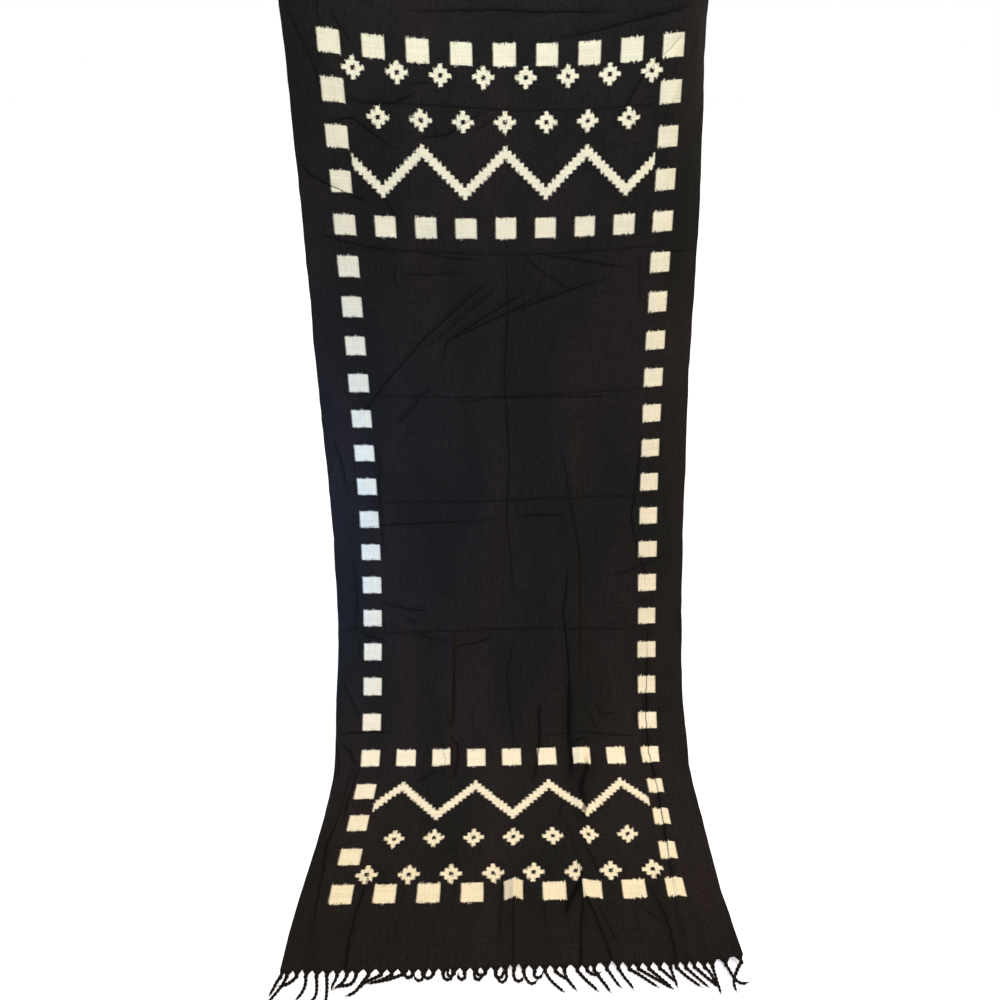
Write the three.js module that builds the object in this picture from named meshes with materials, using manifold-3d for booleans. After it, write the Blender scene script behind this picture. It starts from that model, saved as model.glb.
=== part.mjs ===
// A dupatta: a long stole of thin hand-woven cotton with a fringe of twisted cords at each end.
// It is held up by the two corners of one end, hangs as a chain would, turns onto the floor
// and lies there for the rest of its length.
//
// Millimetres. +X runs across the cloth, +Y away from the side it is looked at from, +Z up.
// The origin is midway between the two held corners.
// A place on the flat cloth is given by two numbers:
//   across  mm from the middle warp thread, positive to the right
//   row     steps of the woven border, counted from the border's first row at the held end

import * as THREE from "three";
import { mergeVertices } from "three/addons/utils/BufferGeometryUtils.js";
import Module from "manifold-3d";

// Cut of the cloth
const CLOTH_WIDTH = 920;
const HALF_WIDTH = CLOTH_WIDTH / 2;
const WALL = 1.5;
const SIDE_COLUMN = 360; // from the middle to the column of squares along each selvedge
const ROW_STEP = 89;
const HELD_ROW = -1.7; // the held end
const HEM_ROW = 24.7; // the end on the floor

// Drape: a catenary from the floor up to the held corners
const HELD_HEIGHT = 1766;
const HELD_BACK = 576; // how far the held corners are behind the line where the cloth meets the floor
const CATENARY = 191; // radius of the turn onto the floor
const FLOOR_ROW = 20.0;
const SAG = 28.4; // of the held end's middle, below the side columns
const SAG_REACH = 6.5; // rows in which the sag falls to a third

// Fringe
const SEAM_GAP = 0.3;
const STRIP_WIDTH = 4;
const STRIP_THICK = 2;
const CORD_SPACING = 20;
const CORD_RADIUS = 2.8;
const CORD_ROOT = 3.2; // from the cloth's edge to the middle of a cord's root
const CORD_SIDES = 4;
const CORD_TAPER = 0.3; // share of its thickness that a cord loses by its tip
const HELD_CORD_LENGTH = 58;
const CORD_FLOOR_GAP = 0.4;

// Where the side columns lie at each row, as measured along and across the smooth drape.
// left, right: x of the column. leftSlide, rightSlide: how far it is pulled up along the drape.
// leftCurl, rightCurl: how far the selvedge beyond it stands forward, or back if negative.
const STATIONS = [
  { row: -1.7, left: -364, right: 357, leftSlide: 6, rightSlide: -15, leftCurl: -22, rightCurl: -58 },
  { row: 0, left: -364, right: 358, leftSlide: 6, rightSlide: -11, leftCurl: -22, rightCurl: -55 },
  { row: 4, left: -362, right: 359, leftSlide: 2, rightSlide: 0, leftCurl: -20, rightCurl: -36 },
  { row: 8, left: -358, right: 359, leftSlide: -4, rightSlide: 1, leftCurl: -6, rightCurl: -29 },
  { row: 12, left: -354, right: 363, leftSlide: 2, rightSlide: 4, leftCurl: -11, rightCurl: -21 },
  { row: 16, left: -358, right: 366, leftSlide: 2, rightSlide: 0, leftCurl: -24, rightCurl: -21 },
  { row: 18, left: -358, right: 362, leftSlide: -2, rightSlide: -4, leftCurl: -12, rightCurl: -10 },
  { row: 19, left: -355, right: 360, leftSlide: -4, rightSlide: 0, leftCurl: -3, rightCurl: -2 },
  { row: 20, left: -357, right: 360, leftSlide: -6, rightSlide: 3, leftCurl: 0, rightCurl: 0 },
  { row: 22, left: -363, right: 355, leftSlide: -5, rightSlide: 4, leftCurl: 2, rightCurl: 2 },
  { row: 23, left: -367, right: 353, leftSlide: -5, rightSlide: 3, leftCurl: 3, rightCurl: 2 },
  { row: 24.7, left: -361, right: 354, leftSlide: -11, rightSlide: -2, leftCurl: 5, rightCurl: 20 },
];

// The largest folds, each a ridge whose crest is a straight line on the flat cloth.
// left, right: from crest to foot on either side, measured along the cloth.
// rise: how far the crest stands forward. crisp: 1 for a pressed crest, 0 for a rounded one.
// fade: rows over which each end of the ridge dies out; a ridge past the hem runs off it.
const FOLD_COLUMNS = ["row", "across", "left", "right", "rise", "crisp", "fade"];
const FOLDS = [
  [[14.4, 20.8], [-150, -168], [30, 26], [30, 26], [4, 8], 0.4, 1.2], // left of the middle, at the turn
  [[6, 19], [148, 178], [34, 30], [34, 30], [4, 9], 0, 3], // long wave on the right
  [[17.6, 22.8], [188, 150], [22, 24], [36, 32], [6, 13], 0.6, 1.2], // bend on the right, at the turn
  [[21.8, 26], [140, 228], [8, 70], [30, 60], [10, 9], 0.8, 0.9], // cone that opens towards the hem
  [[21.8, 26], [3, 0], [32, 38], [32, 38], [22, 10], 1, 1.3], // ridge in the middle of the hem
  [[18.6, 26], [-400, -418], [24, 24], [26, 26], [4, 3], 0.6, 1.6], // left edge
  [[21.6, 26], [-304, -350], [20, 26], [20, 26], [2, 6], 0.6, 0.8], // left of the hem
  [[18.4, 26], [344, 318], [17, 18], [17, 18], [3, 5], 0, 1.2], // left lip of the tuck
  [[18.4, 26], [378, 352], [17, 18], [17, 18], [4, 4], 0, 1.2], // right lip of the tuck
].map((entry) => Object.fromEntries(FOLD_COLUMNS.map((column, k) => [column, entry[k]])));

// Tucks pressed flat: along a narrow band the cloth is doubled, too thin to stand off the wall,
// so the band is only narrower. TUCKS: the middle of each band. TUCK_TAKES: the width it hides.
const TUCK_WIDTH = 20;
const TUCKS = { left: -415, cone: 145, right: 360 };
const TUCK_TAKES = [
  { row: 17, left: 0, cone: 0, right: 0 },
  { row: 18.5, left: 4, cone: 0, right: 2 },
  { row: 19.5, left: 12, cone: 0, right: 6 },
  { row: 20.5, left: 15, cone: 0, right: 8 },
  { row: 21.5, left: 14, cone: 4, right: 8 },
  { row: 23, left: 13, cone: 12, right: 5 },
  { row: 23.9, left: 5, cone: 10, right: 3 },
  { row: 24.7, left: 3, cone: 7, right: 2 },
];

// How the hem's cords lie on the floor. lean: degrees from straight out of the hem, positive to
// the right. In the middle the cords curl up, so they reach less far.
const CORD_LAY = [
  { across: -456, lean: -30, length: 44 },
  { across: -425, lean: -15, length: 44 },
  { across: -395, lean: -8, length: 48 },
  { across: -340, lean: -30, length: 48 },
  { across: -280, lean: -56, length: 50 },
  { across: -220, lean: -70, length: 54 },
  { across: -150, lean: -58, length: 44 },
  { across: -90, lean: -28, length: 28 },
  { across: 40, lean: 14, length: 26 },
  { across: 130, lean: 46, length: 42 },
  { across: 200, lean: 44, length: 36 },
  { across: 270, lean: 54, length: 54 },
  { across: 330, lean: 44, length: 50 },
  { across: 400, lean: 18, length: 46 },
  { across: 456, lean: 4, length: 42 },
];

// Spacing of the wall's facets, closer together where the folds are.
const ACROSS_ZONES = [
  { from: -HALF_WIDTH, to: -296, step: 14 },
  { from: -296, to: -194, step: 34 },
  { from: -194, to: -126, step: 13.6 },
  { from: -126, to: -24, step: 34 },
  { from: -24, to: 0, step: 12 },
  { from: 0, to: 36, step: 12 },
  { from: 36, to: 108, step: 24 },
  { from: 108, to: 238, step: 13 },
  { from: 238, to: 304, step: 22 },
  { from: 304, to: 400, step: 12 },
  { from: 400, to: HALF_WIDTH, step: 30 },
];
const ROW_ZONES = [
  { from: HELD_ROW, to: 16.3, step: 1.5 },
  { from: 16.3, to: 18.7, step: 0.6 },
  { from: 18.7, to: 21.1, step: 0.4 },
  { from: 21.1, to: HEM_ROW, step: 0.6 },
];

const SAMPLE_STEP = 5; // mm, for adding up the width that the folds take
const STEEPEST_RUN = 0.25; // least sideways run of the cloth for each mm of its width
const NUDGE = 0.5; // mm, for measuring slopes
const PRESSED_POWER = 1.4; // above 1, a pressed crest's sides are steepest at the crest

const smooth = (t) => {
  const x = THREE.MathUtils.clamp(t, 0, 1);
  return x * x * (3 - 2 * x);
};

// A smooth curve through one column of a table, read at any value of its key.
function tableCurve(table, key, column) {
  const places = table.map((entry) => entry[key]);
  const values = table.map((entry) => entry[column]);
  const last = places.length - 1;
  const slopes = places.map((place, i) => {
    const before = Math.max(i - 1, 0);
    const after = Math.min(i + 1, last);
    return (values[after] - values[before]) / (places[after] - places[before]);
  });
  return (place) => {
    let i = 0;
    while (i < last - 1 && place > places[i + 1]) i += 1;
    const span = places[i + 1] - places[i];
    const t = (place - places[i]) / span;
    const rise = t * t * (3 - 2 * t);
    const leave = t * (1 - t) * (1 - t) * span * slopes[i];
    const arrive = t * t * (t - 1) * span * slopes[i + 1];
    return values[i] + (values[i + 1] - values[i]) * rise + leave + arrive;
  };
}

const leftAt = tableCurve(STATIONS, "row", "left");
const rightAt = tableCurve(STATIONS, "row", "right");
const leftSlideAt = tableCurve(STATIONS, "row", "leftSlide");
const rightSlideAt = tableCurve(STATIONS, "row", "rightSlide");
const leftCurlAt = tableCurve(STATIONS, "row", "leftCurl");
const rightCurlAt = tableCurve(STATIONS, "row", "rightCurl");
const leanAt = tableCurve(CORD_LAY, "across", "lean");
const lengthAt = tableCurve(CORD_LAY, "across", "length");
const takeAt = Object.fromEntries(
  Object.keys(TUCKS).map((name) => [name, tableCurve(TUCK_TAKES, "row", name)]),
);

function foldHeight(fold, across, row) {
  const [start, end] = fold.row;
  const along = (row - start) / (end - start);
  if (along <= 0 || along >= 1) return 0;
  const at = (pair) => THREE.MathUtils.lerp(pair[0], pair[1], along);
  const fromCrest = across - at(fold.across);
  const offset = Math.abs(fromCrest) / at(fromCrest < 0 ? fold.left : fold.right);
  if (offset >= 1) return 0;
  const fade = smooth((row - start) / fold.fade) * smooth((end - row) / fold.fade);
  const rounded = 0.5 * (1 + Math.cos(Math.PI * offset));
  const pressed = (1 - offset) ** PRESSED_POWER;
  return at(fold.rise) * fade * THREE.MathUtils.lerp(rounded, pressed, fold.crisp);
}

function curlHeight(across, row) {
  const margin = (Math.abs(across) - SIDE_COLUMN) / (HALF_WIDTH - SIDE_COLUMN);
  if (margin <= 0) return 0;
  const curl = across < 0 ? leftCurlAt(row) : rightCurlAt(row);
  return curl * margin ** 1.5;
}

// How far the cloth stands in front of the smooth drape.
function heightAt(across, row) {
  let height = curlHeight(across, row);
  for (const fold of FOLDS) height += foldHeight(fold, across, row);
  return height;
}

// The share of the cloth's width that tucks hide at a place.
function hiddenShare(across, row) {
  if (row < TUCK_TAKES[0].row) return 0;
  let share = 0;
  for (const [name, middle] of Object.entries(TUCKS)) {
    if (Math.abs(across - middle) < TUCK_WIDTH / 2) share += takeAt[name](row) / TUCK_WIDTH;
  }
  return share;
}

// x of every sample across one row: the cloth keeps its width, so a ridge draws its sides in.
const sidewaysTables = new Map();
function sidewaysTable(row) {
  if (sidewaysTables.has(row)) return sidewaysTables.get(row);
  const count = Math.round(CLOTH_WIDTH / SAMPLE_STEP);
  const run = [0];
  for (let i = 0; i < count; i += 1) {
    const across = -HALF_WIDTH + i * SAMPLE_STEP;
    const slope = (heightAt(across + SAMPLE_STEP, row) - heightAt(across, row)) / SAMPLE_STEP;
    const shown = Math.sqrt(Math.max(1 - slope * slope, 0)) - hiddenShare(across + SAMPLE_STEP / 2, row);
    run.push(run[i] + SAMPLE_STEP * Math.max(shown, STEEPEST_RUN));
  }
  const leftRun = run[(HALF_WIDTH - SIDE_COLUMN) / SAMPLE_STEP];
  const rightRun = run[(HALF_WIDTH + SIDE_COLUMN) / SAMPLE_STEP];
  const scale = (rightAt(row) - leftAt(row)) / (rightRun - leftRun);
  const table = run.map((value) => {
    const between = THREE.MathUtils.clamp(value, leftRun, rightRun);
    return leftAt(row) + (between - leftRun) * scale + (value - between);
  });
  sidewaysTables.set(row, table);
  return table;
}

function sidewaysAt(across, row) {
  const table = sidewaysTable(row);
  const place = (across + HALF_WIDTH) / SAMPLE_STEP;
  const i = THREE.MathUtils.clamp(Math.floor(place), 0, table.length - 2);
  return THREE.MathUtils.lerp(table[i], table[i + 1], place - i);
}

// The drape at a length of cloth above the line where it meets the floor.
function drapeAt(length) {
  if (length <= 0) return { back: length, up: 0, backSlope: 1, upSlope: 0 };
  const chord = Math.hypot(CATENARY, length);
  return {
    back: CATENARY * Math.asinh(length / CATENARY),
    up: chord - CATENARY,
    backSlope: CATENARY / chord,
    upSlope: length / chord,
  };
}

// A point of the cloth's underside.
function undersideAt(across, row) {
  const share = (across / SIDE_COLUMN + 1) / 2;
  const slide = THREE.MathUtils.lerp(leftSlideAt(row), rightSlideAt(row), share);
  const sag = SAG * Math.exp((HELD_ROW - row) / SAG_REACH) * (1 - (across / SIDE_COLUMN) ** 2);
  const drape = drapeAt((FLOOR_ROW - row) * ROW_STEP + slide - sag);
  const height = heightAt(across, row);
  const y = drape.back - height * drape.upSlope;
  const z = Math.max(drape.up + height * drape.backSlope, 0);
  return new THREE.Vector3(sidewaysAt(across, row), y - HELD_BACK, z - HELD_HEIGHT);
}

// Directions on the cloth: to the right, towards the held end, and out of the front.
function directionsAt(across, row) {
  const rowNudge = NUDGE / ROW_STEP;
  const right = undersideAt(across + NUDGE, row).sub(undersideAt(across - NUDGE, row)).normalize();
  const up = undersideAt(across, row - rowNudge).sub(undersideAt(across, row + rowNudge)).normalize();
  const front = new THREE.Vector3().crossVectors(right, up).normalize();
  return { right, up, front };
}

function spread(zones) {
  const places = [zones[0].from];
  for (const zone of zones) {
    const count = Math.round((zone.to - zone.from) / zone.step);
    for (let i = 1; i <= count; i += 1) {
      places.push(THREE.MathUtils.lerp(zone.from, zone.to, i / count));
    }
  }
  return places;
}

const acrossPlaces = spread(ACROSS_ZONES);
const rowPlaces = spread(ROW_ZONES);

function meshGeometry(position, index) {
  const geometry = new THREE.BufferGeometry();
  geometry.setAttribute("position", new THREE.Float32BufferAttribute(position, 3));
  geometry.setIndex(index);
  return geometry;
}

// A closed mesh through rings of equal point counts, with flat caps on the first and last ring.
function loft(rings) {
  const sides = rings[0].length;
  const index = [];
  for (let ring = 0; ring + 1 < rings.length; ring += 1) {
    for (let side = 0; side < sides; side += 1) {
      const a = ring * sides + side;
      const b = ring * sides + ((side + 1) % sides);
      index.push(a, b, b + sides, a, b + sides, a + sides);
    }
  }
  const lastRing = (rings.length - 1) * sides;
  for (let side = 1; side + 1 < sides; side += 1) {
    index.push(0, side + 1, side);
    index.push(lastRing, lastRing + side, lastRing + side + 1);
  }
  const position = rings.flat().flatMap((point) => point.toArray());
  return meshGeometry(position, index);
}

// The cloth: one wall, its front set off the underside by the wall's thickness.
function clothGeometry() {
  const position = [];
  for (const side of [0, WALL]) {
    for (const row of rowPlaces) {
      for (const across of acrossPlaces) {
        const point = undersideAt(across, row).addScaledVector(directionsAt(across, row).front, side);
        position.push(...point.toArray());
      }
    }
  }
  const columns = acrossPlaces.length;
  const rows = rowPlaces.length;
  const frontStart = columns * rows;
  const index = [];
  const quad = (a, b, c, d) => index.push(a, b, c, a, c, d);
  for (let r = 0; r + 1 < rows; r += 1) {
    for (let c = 0; c + 1 < columns; c += 1) {
      const corner = r * columns + c;
      quad(corner, corner + 1, corner + columns + 1, corner + columns);
      const front = corner + frontStart;
      quad(front, front + columns, front + columns + 1, front + 1);
    }
  }
  const edge = [];
  for (let c = 0; c + 1 < columns; c += 1) edge.push(c);
  for (let r = 0; r + 1 < rows; r += 1) edge.push(r * columns + columns - 1);
  for (let c = columns - 1; c > 0; c -= 1) edge.push((rows - 1) * columns + c);
  for (let r = rows - 1; r > 0; r -= 1) edge.push(r * columns);
  edge.forEach((from, i) => {
    const to = edge[(i + 1) % edge.length];
    quad(from, from + frontStart, to + frontStart, to);
  });
  return meshGeometry(position, index);
}

// A ring of points round a centre, in the plane of two directions at right angles.
function ring(centre, first, second, radius) {
  return Array.from({ length: CORD_SIDES }, (_, i) => {
    const angle = (2 * Math.PI * i) / CORD_SIDES;
    return centre
      .clone()
      .addScaledVector(first, radius * Math.cos(angle))
      .addScaledVector(second, radius * Math.sin(angle));
  });
}

// A cord through a few points, thick at the root and thinner at the tip.
function cordGeometry(points, side) {
  const rings = points.map((point, i) => {
    const from = points[Math.max(i - 1, 0)];
    const to = points[Math.min(i + 1, points.length - 1)];
    const along = to.clone().sub(from).normalize();
    const first = side.clone().addScaledVector(along, -side.dot(along)).normalize();
    const second = new THREE.Vector3().crossVectors(along, first);
    const taper = 1 - CORD_TAPER * (i / (points.length - 1));
    return ring(point, first, second, CORD_RADIUS * taper);
  });
  return loft(rings);
}

const wasm = await Module();
wasm.setup();

function solidOf(geometry) {
  const merged = mergeVertices(geometry, 1e-4);
  const mesh = new wasm.Mesh({
    numProp: 3,
    vertProperties: new Float32Array(merged.attributes.position.array),
    triVerts: new Uint32Array(merged.index.array),
  });
  return new wasm.Manifold(mesh);
}

function geometryOf(solid) {
  const mesh = solid.getMesh();
  const geometry = new THREE.BufferGeometry();
  geometry.setAttribute("position", new THREE.BufferAttribute(mesh.vertProperties, 3));
  geometry.setIndex(new THREE.BufferAttribute(mesh.triVerts, 1));
  return geometry;
}

// The knotted strip past an end of the cloth, clear of its edge.
// outward is 1 at the hem and -1 at the held end.
function stripGeometry(row, outward) {
  const rings = acrossPlaces.map((across) => {
    const { up, front } = directionsAt(across, row);
    const corner = (off, height) =>
      undersideAt(across, row).addScaledVector(up, -outward * off).addScaledVector(front, height);
    const near = SEAM_GAP;
    const far = SEAM_GAP + STRIP_WIDTH;
    const points = [corner(near, 0), corner(far, 0), corner(far, STRIP_THICK), corner(near, STRIP_THICK)];
    return outward > 0 ? points.reverse() : points;
  });
  return loft(rings);
}

const cordCount = Math.floor((CLOTH_WIDTH - 2 * STRIP_WIDTH) / CORD_SPACING);
const cordPlaces = Array.from({ length: cordCount }, (_, i) => (i - (cordCount - 1) / 2) * CORD_SPACING);

// A cord on the floor: out of the strip and on along the floor, just clear of it, with a slight bend.
function hemCordPoints(across, i) {
  const { up, front } = directionsAt(across, HEM_ROW);
  const floorHeight = CORD_RADIUS + CORD_FLOOR_GAP - HELD_HEIGHT;
  const root = undersideAt(across, HEM_ROW)
    .addScaledVector(up, -CORD_ROOT)
    .addScaledVector(front, STRIP_THICK / 2);
  root.z = Math.max(root.z, floorHeight);
  const lean = THREE.MathUtils.degToRad(leanAt(across) + 3 * Math.sin(i * 2.3));
  const bend = THREE.MathUtils.degToRad(6 * Math.sin(i * 1.7));
  const length = lengthAt(across);
  const step = (from, angle, reach, height) =>
    new THREE.Vector3(from.x + reach * Math.sin(angle), from.y - reach * Math.cos(angle), height);
  const knee = step(root, lean - bend, length * 0.45, THREE.MathUtils.lerp(root.z, floorHeight, 0.75));
  const tip = step(knee, lean + bend, length * 0.55, floorHeight);
  return [root, knee, tip];
}

// Cords at the held end stand up for a few mm, fall over the edge and hang down behind it.
function heldCordPoints(across, i) {
  const { up, front } = directionsAt(across, HELD_ROW);
  const root = undersideAt(across, HELD_ROW)
    .addScaledVector(up, CORD_ROOT)
    .addScaledVector(front, STRIP_THICK / 2);
  const sway = 3 * Math.sin(i * 2.1);
  const crest = root.clone().addScaledVector(up, 6).addScaledVector(front, -5);
  const turn = crest.clone().addScaledVector(front, -6).add(new THREE.Vector3(sway / 2, 0, -9));
  const tip = turn.clone().addScaledVector(front, -2).add(new THREE.Vector3(sway, 0, 14 - HELD_CORD_LENGTH));
  return [root, crest, turn, tip];
}

function fringeGeometry(row, outward, cordPoints) {
  let solid = solidOf(stripGeometry(row, outward));
  cordPlaces.forEach((across, i) => {
    const { right } = directionsAt(across, row);
    solid = solid.add(solidOf(cordGeometry(cordPoints(across, i), right)));
  });
  return geometryOf(solid);
}

function piece(name, geometry, color) {
  const material = new THREE.MeshStandardMaterial({ color, roughness: 0.95, metalness: 0 });
  const mesh = new THREE.Mesh(geometry, material);
  mesh.name = name;
  return mesh;
}

const dupatta = new THREE.Group();
dupatta.add(piece("cloth", clothGeometry(), "#211e1f"));
dupatta.add(piece("fringe_held", fringeGeometry(HELD_ROW, -1, heldCordPoints), "#171415"));
dupatta.add(piece("fringe_hem", fringeGeometry(HEM_ROW, 1, hemCordPoints), "#171415"));

export default dupatta;
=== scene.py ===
# %% [markdown]
# # A cotton dupatta in double ikat
#
# A dupatta is a long stole. This one is plain-woven cotton, black with a cream border of squares,
# small stepped diamonds and a zigzag. It hangs from its two upper corners and its lower end lies on
# the floor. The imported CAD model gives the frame, so it is loaded first and all else is placed in it.

# %% Load the frame
import math
import random

import bpy
import numpy as np
from mathutils import Matrix, Vector


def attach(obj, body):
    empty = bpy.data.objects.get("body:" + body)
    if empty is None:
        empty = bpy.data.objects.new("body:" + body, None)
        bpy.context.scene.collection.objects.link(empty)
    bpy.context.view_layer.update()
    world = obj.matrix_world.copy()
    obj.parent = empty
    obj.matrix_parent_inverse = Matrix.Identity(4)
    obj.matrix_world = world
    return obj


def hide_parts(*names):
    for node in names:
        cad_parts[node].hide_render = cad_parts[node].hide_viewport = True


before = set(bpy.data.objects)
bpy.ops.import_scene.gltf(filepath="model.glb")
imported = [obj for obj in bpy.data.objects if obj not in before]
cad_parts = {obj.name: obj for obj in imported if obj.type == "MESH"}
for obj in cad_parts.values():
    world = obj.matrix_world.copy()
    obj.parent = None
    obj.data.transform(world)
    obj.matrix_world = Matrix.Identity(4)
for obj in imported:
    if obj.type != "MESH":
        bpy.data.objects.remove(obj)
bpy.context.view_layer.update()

scene = bpy.context.scene

# %% [markdown]
# ## Camera and colour
#
# The cloth is seen from 1.5 m above the floor, tilted down. A focal length of 741 pixels in a square
# picture of 1000 is a 26.7 mm lens on a 36 mm sensor. The Standard view transform keeps cream as
# cream: the default one would grey every pale tone.

# %% Camera
CAMERA_PLACE = Vector((-0.0109, -1.8324, -0.2551))
CAMERA_PITCH = 0.5056
CAMERA_ROLL = -0.0134
CAMERA_YAW = -0.0033
FOCAL_PIXELS = 741
PICTURE_PIXELS = 1000
SENSOR_MM = 36

aim = Vector((
    math.sin(CAMERA_YAW) * math.cos(CAMERA_PITCH),
    math.cos(CAMERA_YAW) * math.cos(CAMERA_PITCH),
    -math.sin(CAMERA_PITCH),
))
level = Vector((math.cos(CAMERA_YAW), -math.sin(CAMERA_YAW), 0))
upright = level.cross(aim)
right = math.cos(CAMERA_ROLL) * level + math.sin(CAMERA_ROLL) * upright
top = math.cos(CAMERA_ROLL) * upright - math.sin(CAMERA_ROLL) * level

camera = bpy.data.objects.new("camera", bpy.data.cameras.new("camera"))
camera.data.sensor_width = SENSOR_MM
camera.data.lens = FOCAL_PIXELS / PICTURE_PIXELS * SENSOR_MM
camera.matrix_world = Matrix.Translation(CAMERA_PLACE) @ Matrix((right, top, -aim)).transposed().to_4x4()
scene.collection.objects.link(camera)
scene.camera = camera
scene.view_settings.view_transform = "Standard"
print("lens:", round(camera.data.lens, 2), "mm")


# %% Colour
def linear(hex_colour):
    """An sRGB hex colour as the linear colour that Blender's sockets take."""
    channels = [int(hex_colour[i:i + 2], 16) / 255 for i in (1, 3, 5)]
    return tuple(c / 12.92 if c <= 0.04045 else ((c + 0.055) / 1.055) ** 2.4 for c in channels) + (1.0,)


# %% [markdown]
# ## The drape
#
# Cloth held by two corners hangs as a chain would: a catenary, which leaves the floor flat and
# steepens all the way up. A simulation could find it, but the named sizes below give the same curve
# as the CAD solid's, exactly and in no time. A place on the flat cloth has two numbers: `across`, in
# mm from the middle warp thread, and `row`, counted in steps of the border from the held end.

# %% Cut and drape
CLOTH_WIDTH = 920  # mm from selvedge to selvedge, as all the sizes here
HALF_WIDTH = CLOTH_WIDTH / 2
SIDE_COLUMN = 360  # from the middle to the squares along each side
COLUMN_STEP = 90
ROW_STEP = 89
HELD_ROW = -1.7
HEM_ROW = 24.7
CLOTH_LENGTH = (HEM_ROW - HELD_ROW) * ROW_STEP

HELD_HEIGHT = 1766
HELD_BACK = 576  # how far the held corners are behind the place where the cloth meets the floor
CATENARY = 191  # how tightly it curves there
FLOOR_ROW = 20.0  # the row that lies there
SAG = 28.4  # of the held end's middle, below its corners
SAG_REACH = 6.5  # rows in which the sag falls to a third
SHELL_LIFT = 0.75  # the visible cloth runs along the middle of the solid's wall
MM = 0.001

print("cloth:", CLOTH_WIDTH, "x", round(CLOTH_LENGTH), "mm")

# %% [markdown]
# The real drape strays a little from a plain catenary. Three tables say how: where the side columns
# lie, where the large folds stand up, and where a tuck is pressed flat. A few rows are easy to read
# and to change, and a smooth curve through them fills in the rest.

# %% Tables of the drape
# Where the side columns lie at each row, how far each is pulled up, and how far each selvedge curls
STATION_COLUMNS = ("row", "left", "right", "left_slide", "right_slide", "left_curl", "right_curl")
STATIONS = [
    (-1.7, -364, 357, 6, -15, -22, -58),
    (0, -364, 358, 6, -11, -22, -55),
    (4, -362, 359, 2, 0, -20, -36),
    (8, -358, 359, -4, 1, -6, -29),
    (12, -354, 363, 2, 4, -11, -21),
    (16, -358, 366, 2, 0, -24, -21),
    (18, -358, 362, -2, -4, -12, -10),
    (19, -355, 360, -4, 0, -3, -2),
    (20, -357, 360, -6, 3, 0, 0),
    (22, -363, 355, -5, 4, 2, 2),
    (23, -367, 353, -5, 3, 3, 2),
    (24.7, -361, 354, -11, -2, 5, 20),
]

# The largest folds: a crest from (row, across) to (row, across), its widths to the left and right
# foot and its rise, each at both ends. Crisp is 1 for a pressed crest and 0 for a rounded one.
FOLD_COLUMNS = ("row", "across", "left", "right", "rise", "crisp", "fade")
FOLDS = [
    ((14.4, 20.8), (-150, -168), (30, 26), (30, 26), (4, 8), 0.4, 1.2),
    ((6, 19), (148, 178), (34, 30), (34, 30), (4, 9), 0, 3),
    ((17.6, 22.8), (188, 150), (22, 24), (36, 32), (6, 13), 0.6, 1.2),
    ((21.8, 26), (140, 228), (8, 70), (30, 60), (10, 9), 0.8, 0.9),
    ((21.8, 26), (3, 0), (32, 38), (32, 38), (22, 10), 1, 1.3),
    ((18.6, 26), (-400, -418), (24, 24), (26, 26), (4, 3), 0.6, 1.6),
    ((21.6, 26), (-304, -350), (20, 26), (20, 26), (2, 6), 0.6, 0.8),
    ((18.4, 26), (344, 318), (17, 18), (17, 18), (3, 5), 0, 1.2),
    ((18.4, 26), (378, 352), (17, 18), (17, 18), (4, 4), 0, 1.2),
]
PRESSED_POWER = 1.4

# Tucks pressed flat: the middle of each narrow band where the cloth is doubled, and how much of the
# width it hides at each row. It is too thin to stand off the cloth, so the band is only narrower.
TUCK_WIDTH = 20
TUCKS = {"left": -415, "cone": 153, "right": 360}
TAKE_COLUMNS = ("row", "left", "cone", "right")
TAKES = [
    (17, 0, 0, 0), (18.5, 4, 0, 2), (19.5, 12, 0, 6), (20.5, 15, 0, 8),
    (21.5, 14, 4, 8), (23, 13, 12, 5), (23.9, 5, 10, 3), (24.7, 3, 7, 2),
]


# %% Reading the tables
def smooth(t):
    """Eases from 0 to 1."""
    t = np.clip(t, 0, 1)
    return t * t * (3 - 2 * t)


def table_curve(places, values, at):
    """A smooth curve through a table's values, read at any places."""
    places, values = np.asarray(places, float), np.asarray(values, float)
    last = len(places) - 1
    before, after = np.maximum(np.arange(last + 1) - 1, 0), np.minimum(np.arange(last + 1) + 1, last)
    slopes = (values[after] - values[before]) / (places[after] - places[before])
    i = np.searchsorted(places[1:-1], at)
    span = places[i + 1] - places[i]
    t = (at - places[i]) / span
    leave = t * (1 - t) ** 2 * span * slopes[i]
    arrive = t * t * (t - 1) * span * slopes[i + 1]
    return values[i] + (values[i + 1] - values[i]) * t * t * (3 - 2 * t) + leave + arrive


def read_table(table, columns, name, row):
    """One column of a table, as a smooth curve along the cloth."""
    k = columns.index(name)
    return table_curve([entry[0] for entry in table], [entry[k] for entry in table], row)


def station(name, row):
    return read_table(STATIONS, STATION_COLUMNS, name, row)


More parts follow.
